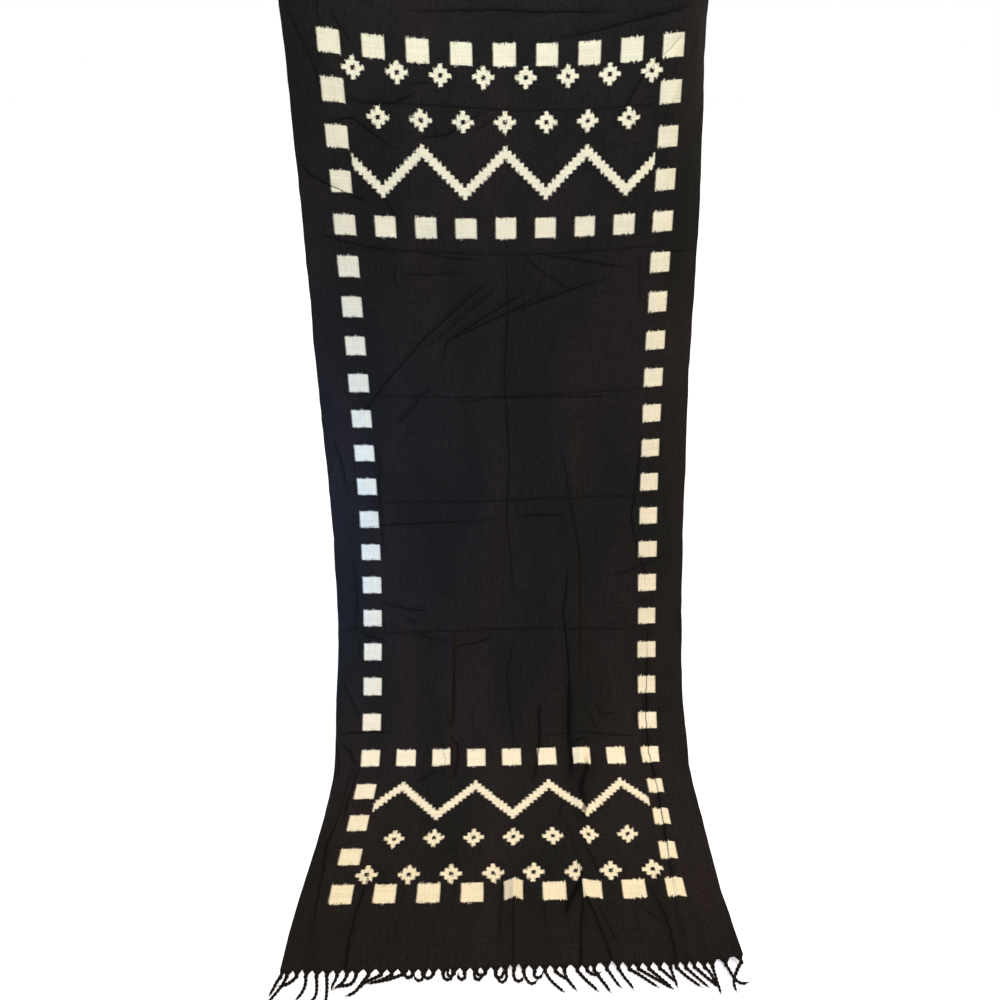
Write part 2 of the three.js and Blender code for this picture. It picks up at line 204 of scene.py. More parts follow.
# %% Large folds
def fold_height(across, row):
    """How far the large folds and the curled selvedges stand in front of the smooth drape."""
    margin = np.clip((np.abs(across) - SIDE_COLUMN) / (HALF_WIDTH - SIDE_COLUMN), 0, None)
    curl = np.where(across < 0, station("left_curl", row), station("right_curl", row))
    height = curl * margin ** 1.5
    for entry in FOLDS:
        fold = dict(zip(FOLD_COLUMNS, entry))
        start, end = fold["row"]
        along = np.clip((row - start) / (end - start), 0, 1)
        crest, left, right_foot, rise = (
            fold[k][0] + (fold[k][1] - fold[k][0]) * along for k in ("across", "left", "right", "rise"))
        from_crest = across - crest
        offset = np.clip(np.abs(from_crest) / np.where(from_crest < 0, left, right_foot), 0, 1)
        fade = smooth((row - start) / fold["fade"]) * smooth((end - row) / fold["fade"])
        rounded, pressed = 0.5 * (1 + np.cos(np.pi * offset)), (1 - offset) ** PRESSED_POWER
        height = height + rise * fade * (rounded + (pressed - rounded) * fold["crisp"])
    return height


# %% [markdown]
# A ridge takes up width, so its two sides come closer together. Adding up the sideways run of the
# cloth across each row keeps every thread its own length, which is what keeps the squares square.

# %% From the flat cloth to the drape
SAMPLE_STEP = 5
STEEPEST_RUN = 0.25


def sideways(across, row):
    """x of places across the cloth, for 1-D arrays of the same length."""
    samples = np.arange(-HALF_WIDTH, HALF_WIDTH + SAMPLE_STEP, SAMPLE_STEP)
    rows, which = np.unique(row, return_inverse=True)
    heights = fold_height(samples[None, :], rows[:, None])
    slope = np.diff(heights, axis=1) / SAMPLE_STEP
    middle = samples[None, :-1] + SAMPLE_STEP / 2
    hidden = 0
    for name, place in TUCKS.items():
        take = np.where(rows < TAKES[0][0], 0, read_table(TAKES, TAKE_COLUMNS, name, rows))
        hidden = hidden + (np.abs(middle - place) < TUCK_WIDTH / 2) * take[:, None] / TUCK_WIDTH
    run = SAMPLE_STEP * np.maximum(np.sqrt(np.maximum(1 - slope ** 2, 0)) - hidden, STEEPEST_RUN)
    run = np.hstack([np.zeros((len(rows), 1)), np.cumsum(run, axis=1)])
    first, last = (int((HALF_WIDTH + side) / SAMPLE_STEP) for side in (-SIDE_COLUMN, SIDE_COLUMN))
    left, right_side = station("left", rows)[:, None], station("right", rows)[:, None]
    left_run, right_run = run[:, first:first + 1], run[:, last:last + 1]
    between = np.clip(run, left_run, right_run)
    x = left + (between - left_run) * (right_side - left) / (right_run - left_run) + (run - between)
    place = np.clip((across + HALF_WIDTH) / SAMPLE_STEP, 0, len(samples) - 1)
    i = np.minimum(place.astype(int), len(samples) - 2)
    return x[which, i] + (x[which, i + 1] - x[which, i]) * (place - i)


def drape(across, row, lift=0.0):
    """Places in metres for places on the flat cloth. Lift is in mm, towards the front."""
    across, row, lift = (np.array(v, float) for v in np.broadcast_arrays(across, row, lift))
    share = (across / SIDE_COLUMN + 1) / 2
    slide = station("left_slide", row) * (1 - share) + station("right_slide", row) * share
    sag = SAG * np.exp((HELD_ROW - row) / SAG_REACH) * (1 - (across / SIDE_COLUMN) ** 2)
    length = np.maximum((FLOOR_ROW - row) * ROW_STEP + slide - sag, 0)
    flat = np.minimum((FLOOR_ROW - row) * ROW_STEP + slide - sag, 0)
    chord = np.hypot(CATENARY, length)
    height = fold_height(across, row) + lift
    back = CATENARY * np.arcsinh(length / CATENARY) + flat - height * length / chord
    up = np.maximum(chord - CATENARY + height * CATENARY / chord, SHELL_LIFT / 2)
    x = sideways(across.ravel(), row.ravel()).reshape(across.shape)
    return np.stack([x, back - HELD_BACK, up - HELD_HEIGHT], axis=-1) * MM


corner = drape([-HALF_WIDTH, HALF_WIDTH], [HELD_ROW, HELD_ROW])
print("held corners at", corner.round(3).tolist())

# %% [markdown]
# ## Creases
#
# Thin cotton keeps every crease it has had. They are given as lines on the flat cloth: the
# sharp lines from lying folded on a shelf, the pull lines that run to the two held corners, and
# rumples. A crease is two things here. In the mesh it is a soft ridge or trough a finger wide. In
# the cloth's colour it is a hairline of painted shade, too fine for the mesh, where the cloth is
# pinched double. Each point of the mesh keeps its distance from the nearest line, so the painted
# shade can be drawn from that as sharp as it should be.

# %% Crease lines
# rise: of the soft form, in mm, towards the front where positive. width: from the line to where it
# has faded. dark: how strong the painted shade of the hairline is, from 0 to 1; one above 1 is also
# that much wider. line: its places, as (across, row).
CREASE_COLUMNS = ("rise", "width", "dark", "line")
CREASES = [
    # pull lines from the right held corner, and from the left
    (-2.6, 9, 0.9, [(436, -0.95), (384, -0.75), (276, -0.6), (156, -0.38), (90, -0.3)]),
    (-2.2, 10, 0.8, [(420, -0.6), (350, 0.1), (300, 0.6), (224, 2.02)]),
    (2.0, 12, 0.3, [(440, -0.4), (385, 0.7), (330, 2.0)]),
    (-2.4, 10, 0.6, [(-452, -0.9), (-425, -0.1), (-392, 0.65), (-380, 1.6)]),
    (-1.8, 8, 0.8, [(-352, -0.7), (-340, -0.45), (-306, 0.02)]),
    (1.8, 14, 0.0, [(-440, -0.6), (-330, 0.9), (-230, 1.9)]),
    (-1.8, 7, 0.9, [(-232, -0.65), (-186, -0.83), (-20, -0.95), (156, -0.88), (285, -0.8)]),
    (-0.8, 6, 0.5, [(-372, -1.2), (-377, -0.3)]),
    # rumples of the upper border
    (-1.6, 8, 0.9, [(-320, 1.25), (-228, 1.15), (-174, 0.85)]),
    (-1.2, 7, 0.7, [(-203, 0.75), (-150, 0.65)]),
    (-1.4, 8, 0.6, [(-60, 1.7), (-10, 1.4)]),
    (-1.8, 8, 0.9, [(-382, 1.72), (-322, 1.55), (-226, 2.27)]),
    (-1.8, 8, 0.9, [(-198, 1.95), (-118, 1.8), (-24, 1.15)]),
    (-2.2, 9, 1.0, [(-458, 2.52), (-432, 2.9), (-358, 3.22), (-284, 3.5)]),
    (-1.4, 8, 0.7, [(-275, 3.2), (-228, 3.95)]),
    (-1.5, 8, 0.8, [(-445, 4.2), (-340, 4.45), (-238, 4.6)]),
    (-1.2, 7, 0.7, [(330, 4.7), (445, 4.8)]),
    (1.4, 10, 0.0, [(60, 1.0), (100, 2.3), (90, 3.2)]),
    (1.2, 10, 0.2, [(250, 3.0), (310, 3.9), (420, 4.1)]),
    # the fan below the upper border
    (-1.7, 8, 0.6, [(-260, 5.17), (-172, 5.15), (-84, 5.1)]),
    (-1.5, 8, 0.7, [(-216, 4.55), (-130, 4.72), (-48, 4.8)]),
    (-1.2, 7, 0.7, [(-248, 4.82), (-256, 5.27), (-238, 5.6)]),
    (-1.9, 8, 0.7, [(34, 4.6), (96, 5.17), (160, 5.6)]),
    (-1.8, 8, 0.8, [(56, 4.6), (168, 4.82), (308, 5.15)]),
    (-2.2, 9, 0.9, [(10, 4.92), (-80, 5.7), (-202, 6.87), (-296, 8.03), (-406, 9.62)]),
    (-1.4, 7, 0.6, [(14, 5.15), (-60, 5.87), (-186, 7.0), (-236, 7.35)]),
    (-2.0, 9, 0.9, [(66, 5.5), (-40, 6.17), (-148, 6.92)]),
    (-1.8, 8, 0.9, [(308, 5.15), (170, 5.52), (8, 6.12), (-138, 6.85), (-154, 7.45), (-152, 7.82),
                    (-132, 8.2)]),
    (-1.2, 7, 0.6, [(8, 6.12), (76, 5.72), (92, 5.1)]),
    (-1.4, 8, 0.7, [(-170, 7.95), (-234, 8.7), (-292, 9.35)]),
    (-1.2, 7, 0.4, [(312, 4.8), (318, 6.2)]),
    # rumples of the long plain middle
    (-2.0, 9, 0.7, [(-168, 8.65), (-46, 8.43), (152, 8.43), (322, 8.5)]),
    (-1.8, 9, 0.9, [(-434, 9.6), (-418, 10.3), (-412, 11.1)]),
    (-1.2, 8, 0.7, [(-322, 9.6), (-326, 11.35), (-328, 12.7), (-322, 13.6)]),
    (-1.4, 8, 0.8, [(-438, 12.3), (-308, 12.15), (-78, 12.05), (-14, 11.97)]),
    (-1.4, 8, 0.8, [(-2, 11.9), (130, 11.92), (158, 12.25)]),
    (-2.0, 12, 0.6, [(-398, 12.97), (-398, 14.75), (-414, 15.8)]),
    (-1.6, 9, 0.9, [(336, 9.2), (330, 10.9), (316, 12.0), (336, 13.1), (352, 13.6), (358, 14.8)]),
    (-1.2, 8, 0.5, [(446, 14.7), (458, 16.2)]),
    (-1.4, 8, 0.6, [(258, 13.85), (352, 13.47), (410, 13.2), (450, 13.5)]),
    (-1.3, 8, 0.9, [(-344, 14.5), (-268, 14.72), (-198, 14.8)]),
    (-1.0, 7, 0.8, [(-280, 15.0), (-240, 15.12)]),
    (-1.4, 8, 0.9, [(-258, 15.47), (-152, 15.72)]),
    (-1.6, 8, 0.9, [(-400, 15.43), (-316, 15.68)]),
    (-1.6, 8, 0.8, [(-446, 15.45), (-374, 15.27), (-304, 15.12)]),
    (-1.6, 8, 0.9, [(-146, 15.85), (-88, 15.75), (-36, 15.55)]),
    (-1.6, 9, 0.8, [(-445, 16.9), (-415, 17.4), (-390, 18.0)]),
    # long lines of the hanging part
    (2.4, 20, 0.0, [(-151, 15.0), (-152, 16.5), (-150, 18.2)]),
    (2.6, 22, 0.0, [(132, 6.5), (158, 10.0), (170, 13.3), (167, 18.4)]),
    (2.2, 14, 0.7, [(4, 3.4), (8, 6.05), (-2, 7.85), (4, 10.3), (-6, 12.0), (10, 14.1), (20, 15.3)]),
    (2.0, 14, 0.6, [(20, 15.1), (-8, 16.7), (0, 17.4), (6, 18.3), (9, 19.3)]),
    (-2.0, 16, 0.8, [(124, 9.15), (142, 10.3), (158, 11.4), (182, 13.0), (186, 14.9), (184, 17.4)]),
    (-2.4, 12, 1.2, [(158, 13.0), (140, 14.9), (152, 16.2), (158, 17.4), (154, 18.2)]),
    (-3.0, 14, 3.4, [(157, 16.6), (156, 17.6), (152, 18.4), (154, 19.0), (148, 19.5), (140, 19.95)]),
    (-2.0, 18, 0.4, [(-410, 12.8), (-400, 15.0), (-391, 16.6)]),
    (1.8, 14, 0.3, [(342, 13.0), (348, 15.5), (353, 16.8)]),
    # the turn onto the floor
    (-1.4, 8, 0.9, [(-453, 18.3), (-304, 18.26)]),
    (-1.6, 8, 0.9, [(-446, 18.55), (-415, 18.85), (-395, 19.2)]),
    (-1.8, 9, 0.9, [(-146, 15.1), (-146, 17.4), (-148, 18.0), (-187, 18.35)]),
    (-1.8, 8, 1.0, [(-161, 18.35), (-138, 18.6), (-134, 19.0), (-148, 19.75)]),
    (-1.2, 7, 0.8, [(-181, 18.6), (-166, 19.1), (-172, 19.3), (-167, 19.85)]),
    (-1.2, 7, 0.9, [(-242, 19.75), (-216, 19.52), (-188, 19.35)]),
    (-1.4, 8, 0.8, [(-396, 21.05), (-398, 20.3), (-392, 19.6), (-380, 18.9)]),
    (-1.2, 7, 0.8, [(-459, 18.5), (-449, 19.1), (-452, 19.6)]),
    (-1.2, 7, 0.7, [(73, 18.4), (199, 18.32), (297, 18.42), (345, 18.44)]),
    (-1.6, 8, 0.6, [(190, 17.4), (212, 17.9), (230, 18.35)]),
    (-1.2, 7, 0.7, [(227, 17.45), (237, 17.82), (280, 17.76)]),
    (-1.6, 8, 1.0, [(160, 18.68), (180, 18.5), (200, 18.52)]),
    (-3.4, 16, 4.4, [(200, 18.7), (190, 19.4), (170, 20.0), (176, 20.6), (164, 21.4)]),
    (-1.2, 7, 0.7, [(109, 21.05), (115, 20.6), (136, 20.4)]),
    (1.8, 9, 0.4, [(118, 20.75), (139, 21.9), (156, 22.5)]),
    (-1.6, 8, 0.5, [(353, 17.2), (345, 18.5), (334, 19.7)]),
    (-2.4, 14, 1.6, [(80, 17.2), (76, 18.4), (66, 19.2), (46, 19.9)]),
    (-1.2, 7, 0.7, [(282, 20.1), (316, 20.43), (345, 20.9)]),
    # the end on the floor
    (-3.0, 9, 1.2, [(364, 14.2), (360, 17.0), (356, 18.0), (357, 19.0), (366, 19.8), (362, 21.1),
                    (360, 22.0), (354, 23.1), (344, 23.7), (338, 24.2)]),
    (-1.8, 8, 1.2, [(322, 23.5), (326, 24.1), (326, 24.72)]),
    (-1.0, 7, 0.5, [(250, 23.1), (280, 23.47), (302, 23.72), (326, 23.95)]),
    (-3.0, 14, 3.4, [(160, 22.2), (150, 22.75), (136, 22.95), (120, 23.25), (104, 23.75)]),
    (-2.4, 9, 1.3, [(156, 22.4), (147, 23.3), (137, 23.95), (132, 24.72)]),
    (1.0, 9, 1.2, [(164, 22.9), (170, 23.3), (181, 23.7), (191, 24.15), (200, 24.72)]),
    (-1.4, 8, 0.8, [(186, 23.3), (194, 23.55), (206, 23.95), (222, 24.35)]),
    (-1.8, 8, 0.7, [(158, 21.6), (190, 22.2), (200, 22.7)]),
    (1.2, 9, 0.6, [(2, 22.3), (0, 23.2), (-2, 24.72)]),
    (-1.8, 9, 0.5, [(-26, 22.0), (-30, 23.2), (-34, 24.6)]),
    (-1.6, 9, 1.3, [(-390, 18.9), (-414, 20.1), (-424, 21.0), (-436, 21.6), (-428, 22.3), (-414, 23.1),
                    (-408, 23.9), (-398, 24.25)]),
    (-1.6, 8, 1.0, [(-306, 22.0), (-314, 22.9), (-323, 23.5), (-329, 24.0), (-330, 24.72)]),
    (-1.2, 7, 0.6, [(297, 22.75), (315, 23.4), (328, 23.9)]),
    (-1.2, 8, 0.3, [(-230, 22.6), (-238, 23.6), (-240, 24.4)]),
    (-1.0, 8, 0.3, [(-120, 21.3), (-128, 22.6), (-126, 23.8)]),
    (-1.0, 8, 0.3, [(84, 22.0), (70, 23.1), (66, 24.3)]),
    (-1.0, 8, 0.3, [(250, 22.4), (262, 23.4), (270, 24.5)]),
]
print("creases:", len(CREASES))

# %% Distance from a crease
# where it was folded on the shelf: rows of the transverse lines, places of the lengthwise ones
SHELF_ROWS = [1.2, 4.6, 8.35, 11.43, 15.38]
SHELF_PLACES = [-387, -153, 0, 153, 360]
FADING_SHARE = 0.25  # of a crease's length, in which it comes or goes
FALL = 2.2  # how steeply its form falls away: to a ninth at its width


def from_line(across, row, points):
    """Signed distance in mm from a line of points, and the share of the line's length that is nearest."""
    points = [(a, r * ROW_STEP) for a, r in points]
    spans = [math.dist(p, q) for p, q in zip(points, points[1:])]
    nearest = np.full(np.broadcast(across, row).shape, 1e6)
    share = np.zeros(nearest.shape)
    passed = 0
    for (ax, ay), (bx, by), span in zip(points, points[1:], spans):
        dx, dy = across - ax, row * ROW_STEP - ay
        t = np.clip((dx * (bx - ax) + dy * (by - ay)) / span ** 2, 0, 1)
        off = np.hypot(dx - (bx - ax) * t, dy - (by - ay) * t)
        side = np.where(dx * (by - ay) - dy * (bx - ax) < 0, -1, 1)
        closer = off < np.abs(nearest)
        share = np.where(closer, (passed + t * span) / sum(spans), share)
        nearest = np.where(closer, side * off, nearest)
        passed += span
    return nearest, share


def end_fade(crease, share):
    """1 along a crease and 0 at its ends, but a crease that reaches the hem runs off it."""
    start, end = smooth(share / FADING_SHARE), smooth((1 - share) / FADING_SHARE)
    return start if crease["line"][-1][1] > HEM_ROW else start * end


def crease_height(across, row):
    """The soft form of all the creases, in mm."""
    height = 0
    for entry in CREASES:
        crease = dict(zip(CREASE_COLUMNS, entry))
        off, share = from_line(across, row, crease["line"])
        form = np.exp(-FALL * np.abs(off) / crease["width"])
        height = height + crease["rise"] * end_fade(crease, share) * form
    return height


# %% [markdown]
# Between the creases the cloth is never quite even. Smooth random waves of three sizes, from a
# hand's span down to two fingers, are enough to break up the light on it.

# %% Rumpled surface
WAVES = ((210, 3.4), (90, 1.9), (36, 0.6))  # mm, from one to the next across, and the rise
WAVE_STRETCH = 1.5  # they are this much longer than wide, because the cloth hangs
WAVE_SEED = 11
FLOOR_RUMPLE = 3.6  # mm, the highest of them on the floor, which no trough can sink into
TROUGH = (0.9, 3.5)  # mm, the depth of a transverse shelf line, and how far out it fades
RIDGE = (0.7, 4.0)  # mm, the rise of a lengthwise one, and how far out it fades


def wave_height(across, row):
    """Smooth random waves, made by easing between random heights on a coarse grid."""
    height = 0
    for k, (size, rise) in enumerate(WAVES):
        dice = np.random.default_rng(WAVE_SEED + k)
        x = (across + HALF_WIDTH) / size + 0.37
        y = (row - HELD_ROW) * ROW_STEP / size / WAVE_STRETCH + 0.61
        cells = int(CLOTH_LENGTH / size / WAVE_STRETCH) + 4, int(CLOTH_WIDTH / size) + 4
        grid = dice.uniform(-1, 1, cells)
        i, j = x.astype(int), y.astype(int)
        u, v = smooth(x - i), smooth(y - j)
        low = grid[j, i] * (1 - u) + grid[j, i + 1] * u
        high = grid[j + 1, i] * (1 - u) + grid[j + 1, i + 1] * u
        height = height + rise * (low * (1 - v) + high * v)
    return height


def surface_height(across, row):
    """All that stands off the smooth drape and its folds, in mm."""
    height = crease_height(across, row)
    for shelf_row in SHELF_ROWS:
        off = (row - shelf_row) * ROW_STEP + 4 * np.sin(across / 130 + shelf_row)
        height = height - TROUGH[0] * np.exp(-np.abs(off) / TROUGH[1])
    for place in SHELF_PLACES:
        off = across - place + 3 * np.sin(row / 2.1 + place)
        height = height + RIDGE[0] * np.exp(-np.abs(off) / RIDGE[1])
    hanging = smooth((FLOOR_ROW + 0.6 - row) / 1.6)
    waves = wave_height(across, row)
    on_floor = FLOOR_RUMPLE * smooth((waves + 0.4) / 3)
    return height + waves * hanging + on_floor * (1 - hanging)


# %% [markdown]
# The cloth itself is one open sheet of quads. A modifier could thicken it, but real cotton is thinner
# than a pixel here, and a single sheet can be measured against its flat size. Its flat place is kept
# as its UV map: u is the share of the width and v the share of the length. The pattern is drawn from
# that, so it bends with the cloth as dyed thread does.

# %% Mesh helper
def add_mesh(name, points, faces, uv=None, smooth_faces=True):
    """A mesh object from plain lists, with an optional UV pair for each point."""
    mesh = bpy.data.meshes.new(name)
    mesh.from_pydata(points, [], faces)
    if uv is not None:
        layer = mesh.uv_layers.new(name="flat cloth")
        corner_points = np.empty(len(mesh.loops), int)
        mesh.loops.foreach_get("vertex_index", corner_points)
        layer.data.foreach_set("uv", np.asarray(uv, np.float32)[corner_points].ravel())
    mesh.polygons.foreach_set("use_smooth", [smooth_faces] * len(mesh.polygons))
    made = bpy.data.objects.new(name, mesh)
    scene.collection.objects.link(made)
    triangles = sum(len(face) - 2 for face in faces)
    print(name + ":", len(points), "points,", triangles, "triangles")
    return made


# %% Cloth
ACROSS_STEPS = 226
ROW_STEPS = 430
SELVEDGE_WANDER = ((85, 1.8), (26, 0.8))  # mm, from one bend to the next and how far it strays

across_line = np.linspace(-HALF_WIDTH, HALF_WIDTH, ACROSS_STEPS + 1)
row_line = np.linspace(HELD_ROW, HEM_ROW, ROW_STEPS + 1)
across_grid, row_grid = np.meshgrid(across_line, row_line)
lift = SHELL_LIFT + surface_height(across_grid, row_grid)
places = drape(across_grid, row_grid, lift)
# a woven selvedge is never quite straight
wander_dice = np.random.default_rng(3)
for side in (-1, 1):
    wander = np.zeros(len(row_line))
    for knot_step, furthest in SELVEDGE_WANDER:
        knots = np.arange(HELD_ROW * ROW_STEP, HEM_ROW * ROW_STEP + 2 * knot_step, knot_step)
        wander += furthest * np.interp(row_line * ROW_STEP, knots, wander_dice.uniform(-1, 1, len(knots)))
    places[..., 0] += wander[:, None] * smooth((side * across_grid - 420) / 40) * MM
flat_uv = np.stack([
    (across_grid + HALF_WIDTH) / CLOTH_WIDTH,
    (HEM_ROW - row_grid) / (HEM_ROW - HELD_ROW),
], axis=-1)

wide = ACROSS_STEPS + 1
cloth_faces = [
    (r * wide + c, (r + 1) * wide + c, (r + 1) * wide + c + 1, r * wide + c + 1)
    for r in range(ROW_STEPS)
    for c in range(ACROSS_STEPS)
]
cloth = add_mesh("ikat_cloth", places.reshape(-1, 3).tolist(), cloth_faces, flat_uv.reshape(-1, 2))

# %% [markdown]
# The distances from the hairlines of painted shade are kept on the points. Where two lines run close
# together they would spoil each other's distances, so they are dealt out over a few layers.

# %% Hairlines of painted shade on the points
HAIRLINE_REACH = 11  # mm, two cells of the mesh
HAIRLINE_FULL = 5  # mm, as far as it keeps all its strength
HAIRLINE_LAYERS = 6
HAIRLINE_HALF = 1.5  # mm, half the width of the pinched part
# how dark the painted shade along each shelf line is
SHELF_DARK = 0.6

painted_shade_lines = [dict(zip(CREASE_COLUMNS, entry)) for entry in CREASES]
for k, shelf_row in enumerate(SHELF_ROWS):
    line = [(a, shelf_row + 0.05 * math.sin(a / 130 + k)) for a in range(-455, 456, 70)]
    painted_shade_lines.append({"dark": SHELF_DARK, "line": line})
layers = [{"used": np.zeros(across_grid.shape, bool),
           "off": np.full(across_grid.shape, float(HAIRLINE_REACH)),
           "dark": np.zeros(across_grid.shape),
           "half": np.full(across_grid.shape, HAIRLINE_HALF)} for _ in range(HAIRLINE_LAYERS)]
# a tuck narrows the cloth, so there a lengthwise line is nearer than it is on the flat cloth
narrowed = np.abs(np.gradient(places[..., 0], across_line * MM, axis=1))
left_out = 0
for crease in sorted((c for c in painted_shade_lines if c["dark"] > 0), key=lambda c: -c["dark"]):
    (first_across, first_row), (last_across, last_row) = crease["line"][0], crease["line"][-1]
    off, share = from_line(across_grid, row_grid, crease["line"])
    if abs(last_across - first_across) < abs(last_row - first_row) * ROW_STEP:
        off = off * narrowed
    wider = max(crease["dark"], 1)
    near = np.abs(off) < HAIRLINE_REACH * wider
    strength = min(crease["dark"], 1) * end_fade(crease, share)
    past_full = (np.abs(off) / wider - HAIRLINE_FULL) / (HAIRLINE_REACH - HAIRLINE_FULL)
    strength = strength * (1 - smooth(past_full))
    layer = next((one for one in layers if not (one["used"] & near).any()), None)
    if layer is None:
        left_out += 1
        continue
    layer["used"] |= near
    layer["off"][near] = off[near]
    layer["dark"][near] = strength[near]
    layer["half"][near] = HAIRLINE_HALF * wider
for k, layer in enumerate(layers):
    kept = np.stack([layer["off"], layer["dark"], layer["half"]], axis=-1)
    made = cloth.data.attributes.new("hairlines %d" % k, "FLOAT_VECTOR", "POINT")
    made.data.foreach_set("vector", kept.astype(np.float32).ravel())
print("hairlines:", len(painted_shade_lines), "left out:", left_out)

# %% [markdown]
# ## Fringe
#
# Every 20 mm the last warp threads are gathered, knotted and twisted into a cord. Bevelled curves
# could draw them, but plain tubes are quicker to make and stay as they are in any export. A cord is
# three things: a fan of threads from the hem, a knot, and two plies wound round each other.

# %% Tubes and curves
PLY_RADIUS = 2.15  # mm, as all sizes of the fringe
PLY_OFFSET = 1.7
PLY_SIDES = 7
TWIST_LENGTH = 15  # for one full turn of the plies
RING_STEP = 1.3
KNOT_RADIUS = 4.4
FAN_THREADS = 11
FAN_THREAD_RADIUS = 1.05


def tube(path, radii, sides, points, faces):
    """Adds a closed tube along a path to the lists of points and faces."""
    path = np.asarray(path, float)
    ahead = np.gradient(path, axis=0)
    ahead /= np.linalg.norm(ahead, axis=1, keepdims=True)
    side = np.cross(ahead[0], (0.31, 0.17, 0.93))
    start = len(points)
    turns = np.linspace(0, 2 * np.pi, sides, endpoint=False)
    for centre, way, radius in zip(path, ahead, radii):
        side = side - way * side.dot(way)
        side /= np.linalg.norm(side)
        other = np.cross(way, side)
        points.extend(tuple(centre + radius * (math.cos(a) * side + math.sin(a) * other)) for a in turns)
    for ring in range(len(path) - 1):
        for k in range(sides):
            a, b = start + ring * sides + k, start + ring * sides + (k + 1) % sides
            faces.append((a, b, b + sides, a + sides))
    faces.append(tuple(range(start + sides - 1, start - 1, -1)))
    faces.append(tuple(range(len(points) - sides, len(points))))


def resample(path, step):
    """A smooth curve through a few points, as points an even step apart."""
    path = np.asarray(path, float)
    gaps = np.linalg.norm(np.diff(path, axis=0), axis=1)
    at = np.concatenate([[0], np.cumsum(gaps)])
    want = np.linspace(0, at[-1], max(int(at[-1] / step), 4) + 1)
    return np.stack([table_curve(at, path[:, k], want) for k in range(3)], axis=1)


# %% Twisted cord
def add_cord(path, points, faces, thickness, dice):
    """Two plies wound round each other along a path in mm, thinner and looser at the tip."""
    path = resample(path, RING_STEP)
    count = len(path)
    share = np.linspace(0, 1, count)
    ahead = np.gradient(path, axis=0)
    ahead /= np.linalg.norm(ahead, axis=1, keepdims=True)
    side = np.cross(ahead[0], (0.2, 0.1, 0.97))
    sides, others = [], []
    for way in ahead:
        side = side - way * side.dot(way)
        side /= np.linalg.norm(side)
        sides.append(side)
        others.append(np.cross(way, side))
    sides, others = np.array(sides), np.array(others)
    body = thickness * (1 - 0.22 * share)
    start_turn = dice.uniform(0, 2 * math.pi)
    for ply in (0, math.pi):
        angle = start_turn + ply + 2 * np.pi * share * count * RING_STEP / TWIST_LENGTH
        offset = (PLY_OFFSET * body)[:, None]
        centre = path + offset * (np.cos(angle)[:, None] * sides + np.sin(angle)[:, None] * others)
        ends = np.clip(np.minimum(share, 1 - share) * count / 2, 0.35, 1)
        tube(centre * MM, PLY_RADIUS * body * ends * MM, PLY_SIDES, points, faces)
    # the cut end: a few loose threads
    for _ in range(5):
        spray = np.array([dice.uniform(-1, 1), dice.uniform(-1, 1), dice.uniform(-0.3, 0.3)])
        tip = path[-1] + ahead[-1] * dice.uniform(3, 6) + spray * 1.6
        middle = (path[-1] + tip) / 2 + spray * 0.5
        tube(np.array([path[-2], middle, tip]) * MM, np.array([0.5, 0.42, 0.2]) * MM, 4, points, faces)


# %% Knot and fan
def add_knot(centre, along, radius, points, faces):
    """A small overhand knot: one turn of thread round the cord, over a rounded core."""
    along = np.asarray(along, float) / np.linalg.norm(along)
    side = np.cross(along, (0.1, 0.2, 0.95))
    side /= np.linalg.norm(side)
    other = np.cross(along, side)
    turns = np.linspace(0, 2.6 * np.pi, 16)
    wrap = [
        centre + radius * 0.62 * (math.cos(a) * side + math.sin(a) * other) + along * (a / 4 - 1) * 0.9
        for a in turns
    ]
    tube(np.array(wrap) * MM, np.full(16, radius * 0.42) * MM, 6, points, faces)
    core = np.array([centre + along * d for d in np.linspace(-0.9, 0.9, 6) * radius])
    tube(core * MM, np.array([0.45, 0.75, 0.9, 0.9, 0.75, 0.5]) * radius * MM, 7, points, faces)


def add_fan(hem_points, knot, points, faces):
    """Threads that leave the hem side by side and run together into the knot."""
    middle = (len(hem_points) - 1) / 2
    for k, start in enumerate(hem_points):
        spread = (k - middle) / middle
        bend = start * 0.45 + knot * 0.55 + np.array([0, 0, 0.8 * (1 - spread ** 2)])
        end = knot + np.array([spread * 1.3, 0, 0.4])
        strand = resample([start, bend, end], 2.2)
        tube(strand * MM, np.linspace(FAN_THREAD_RADIUS, 0.85, len(strand)) * MM, 5, points, faces)


# %% [markdown]
# ### The end on the floor
#
# Cords fall as they like, so each one is placed by a row of a table: where it starts, which way it
# sets off, how it bends and how its end hooks round. None sinks into the floor.

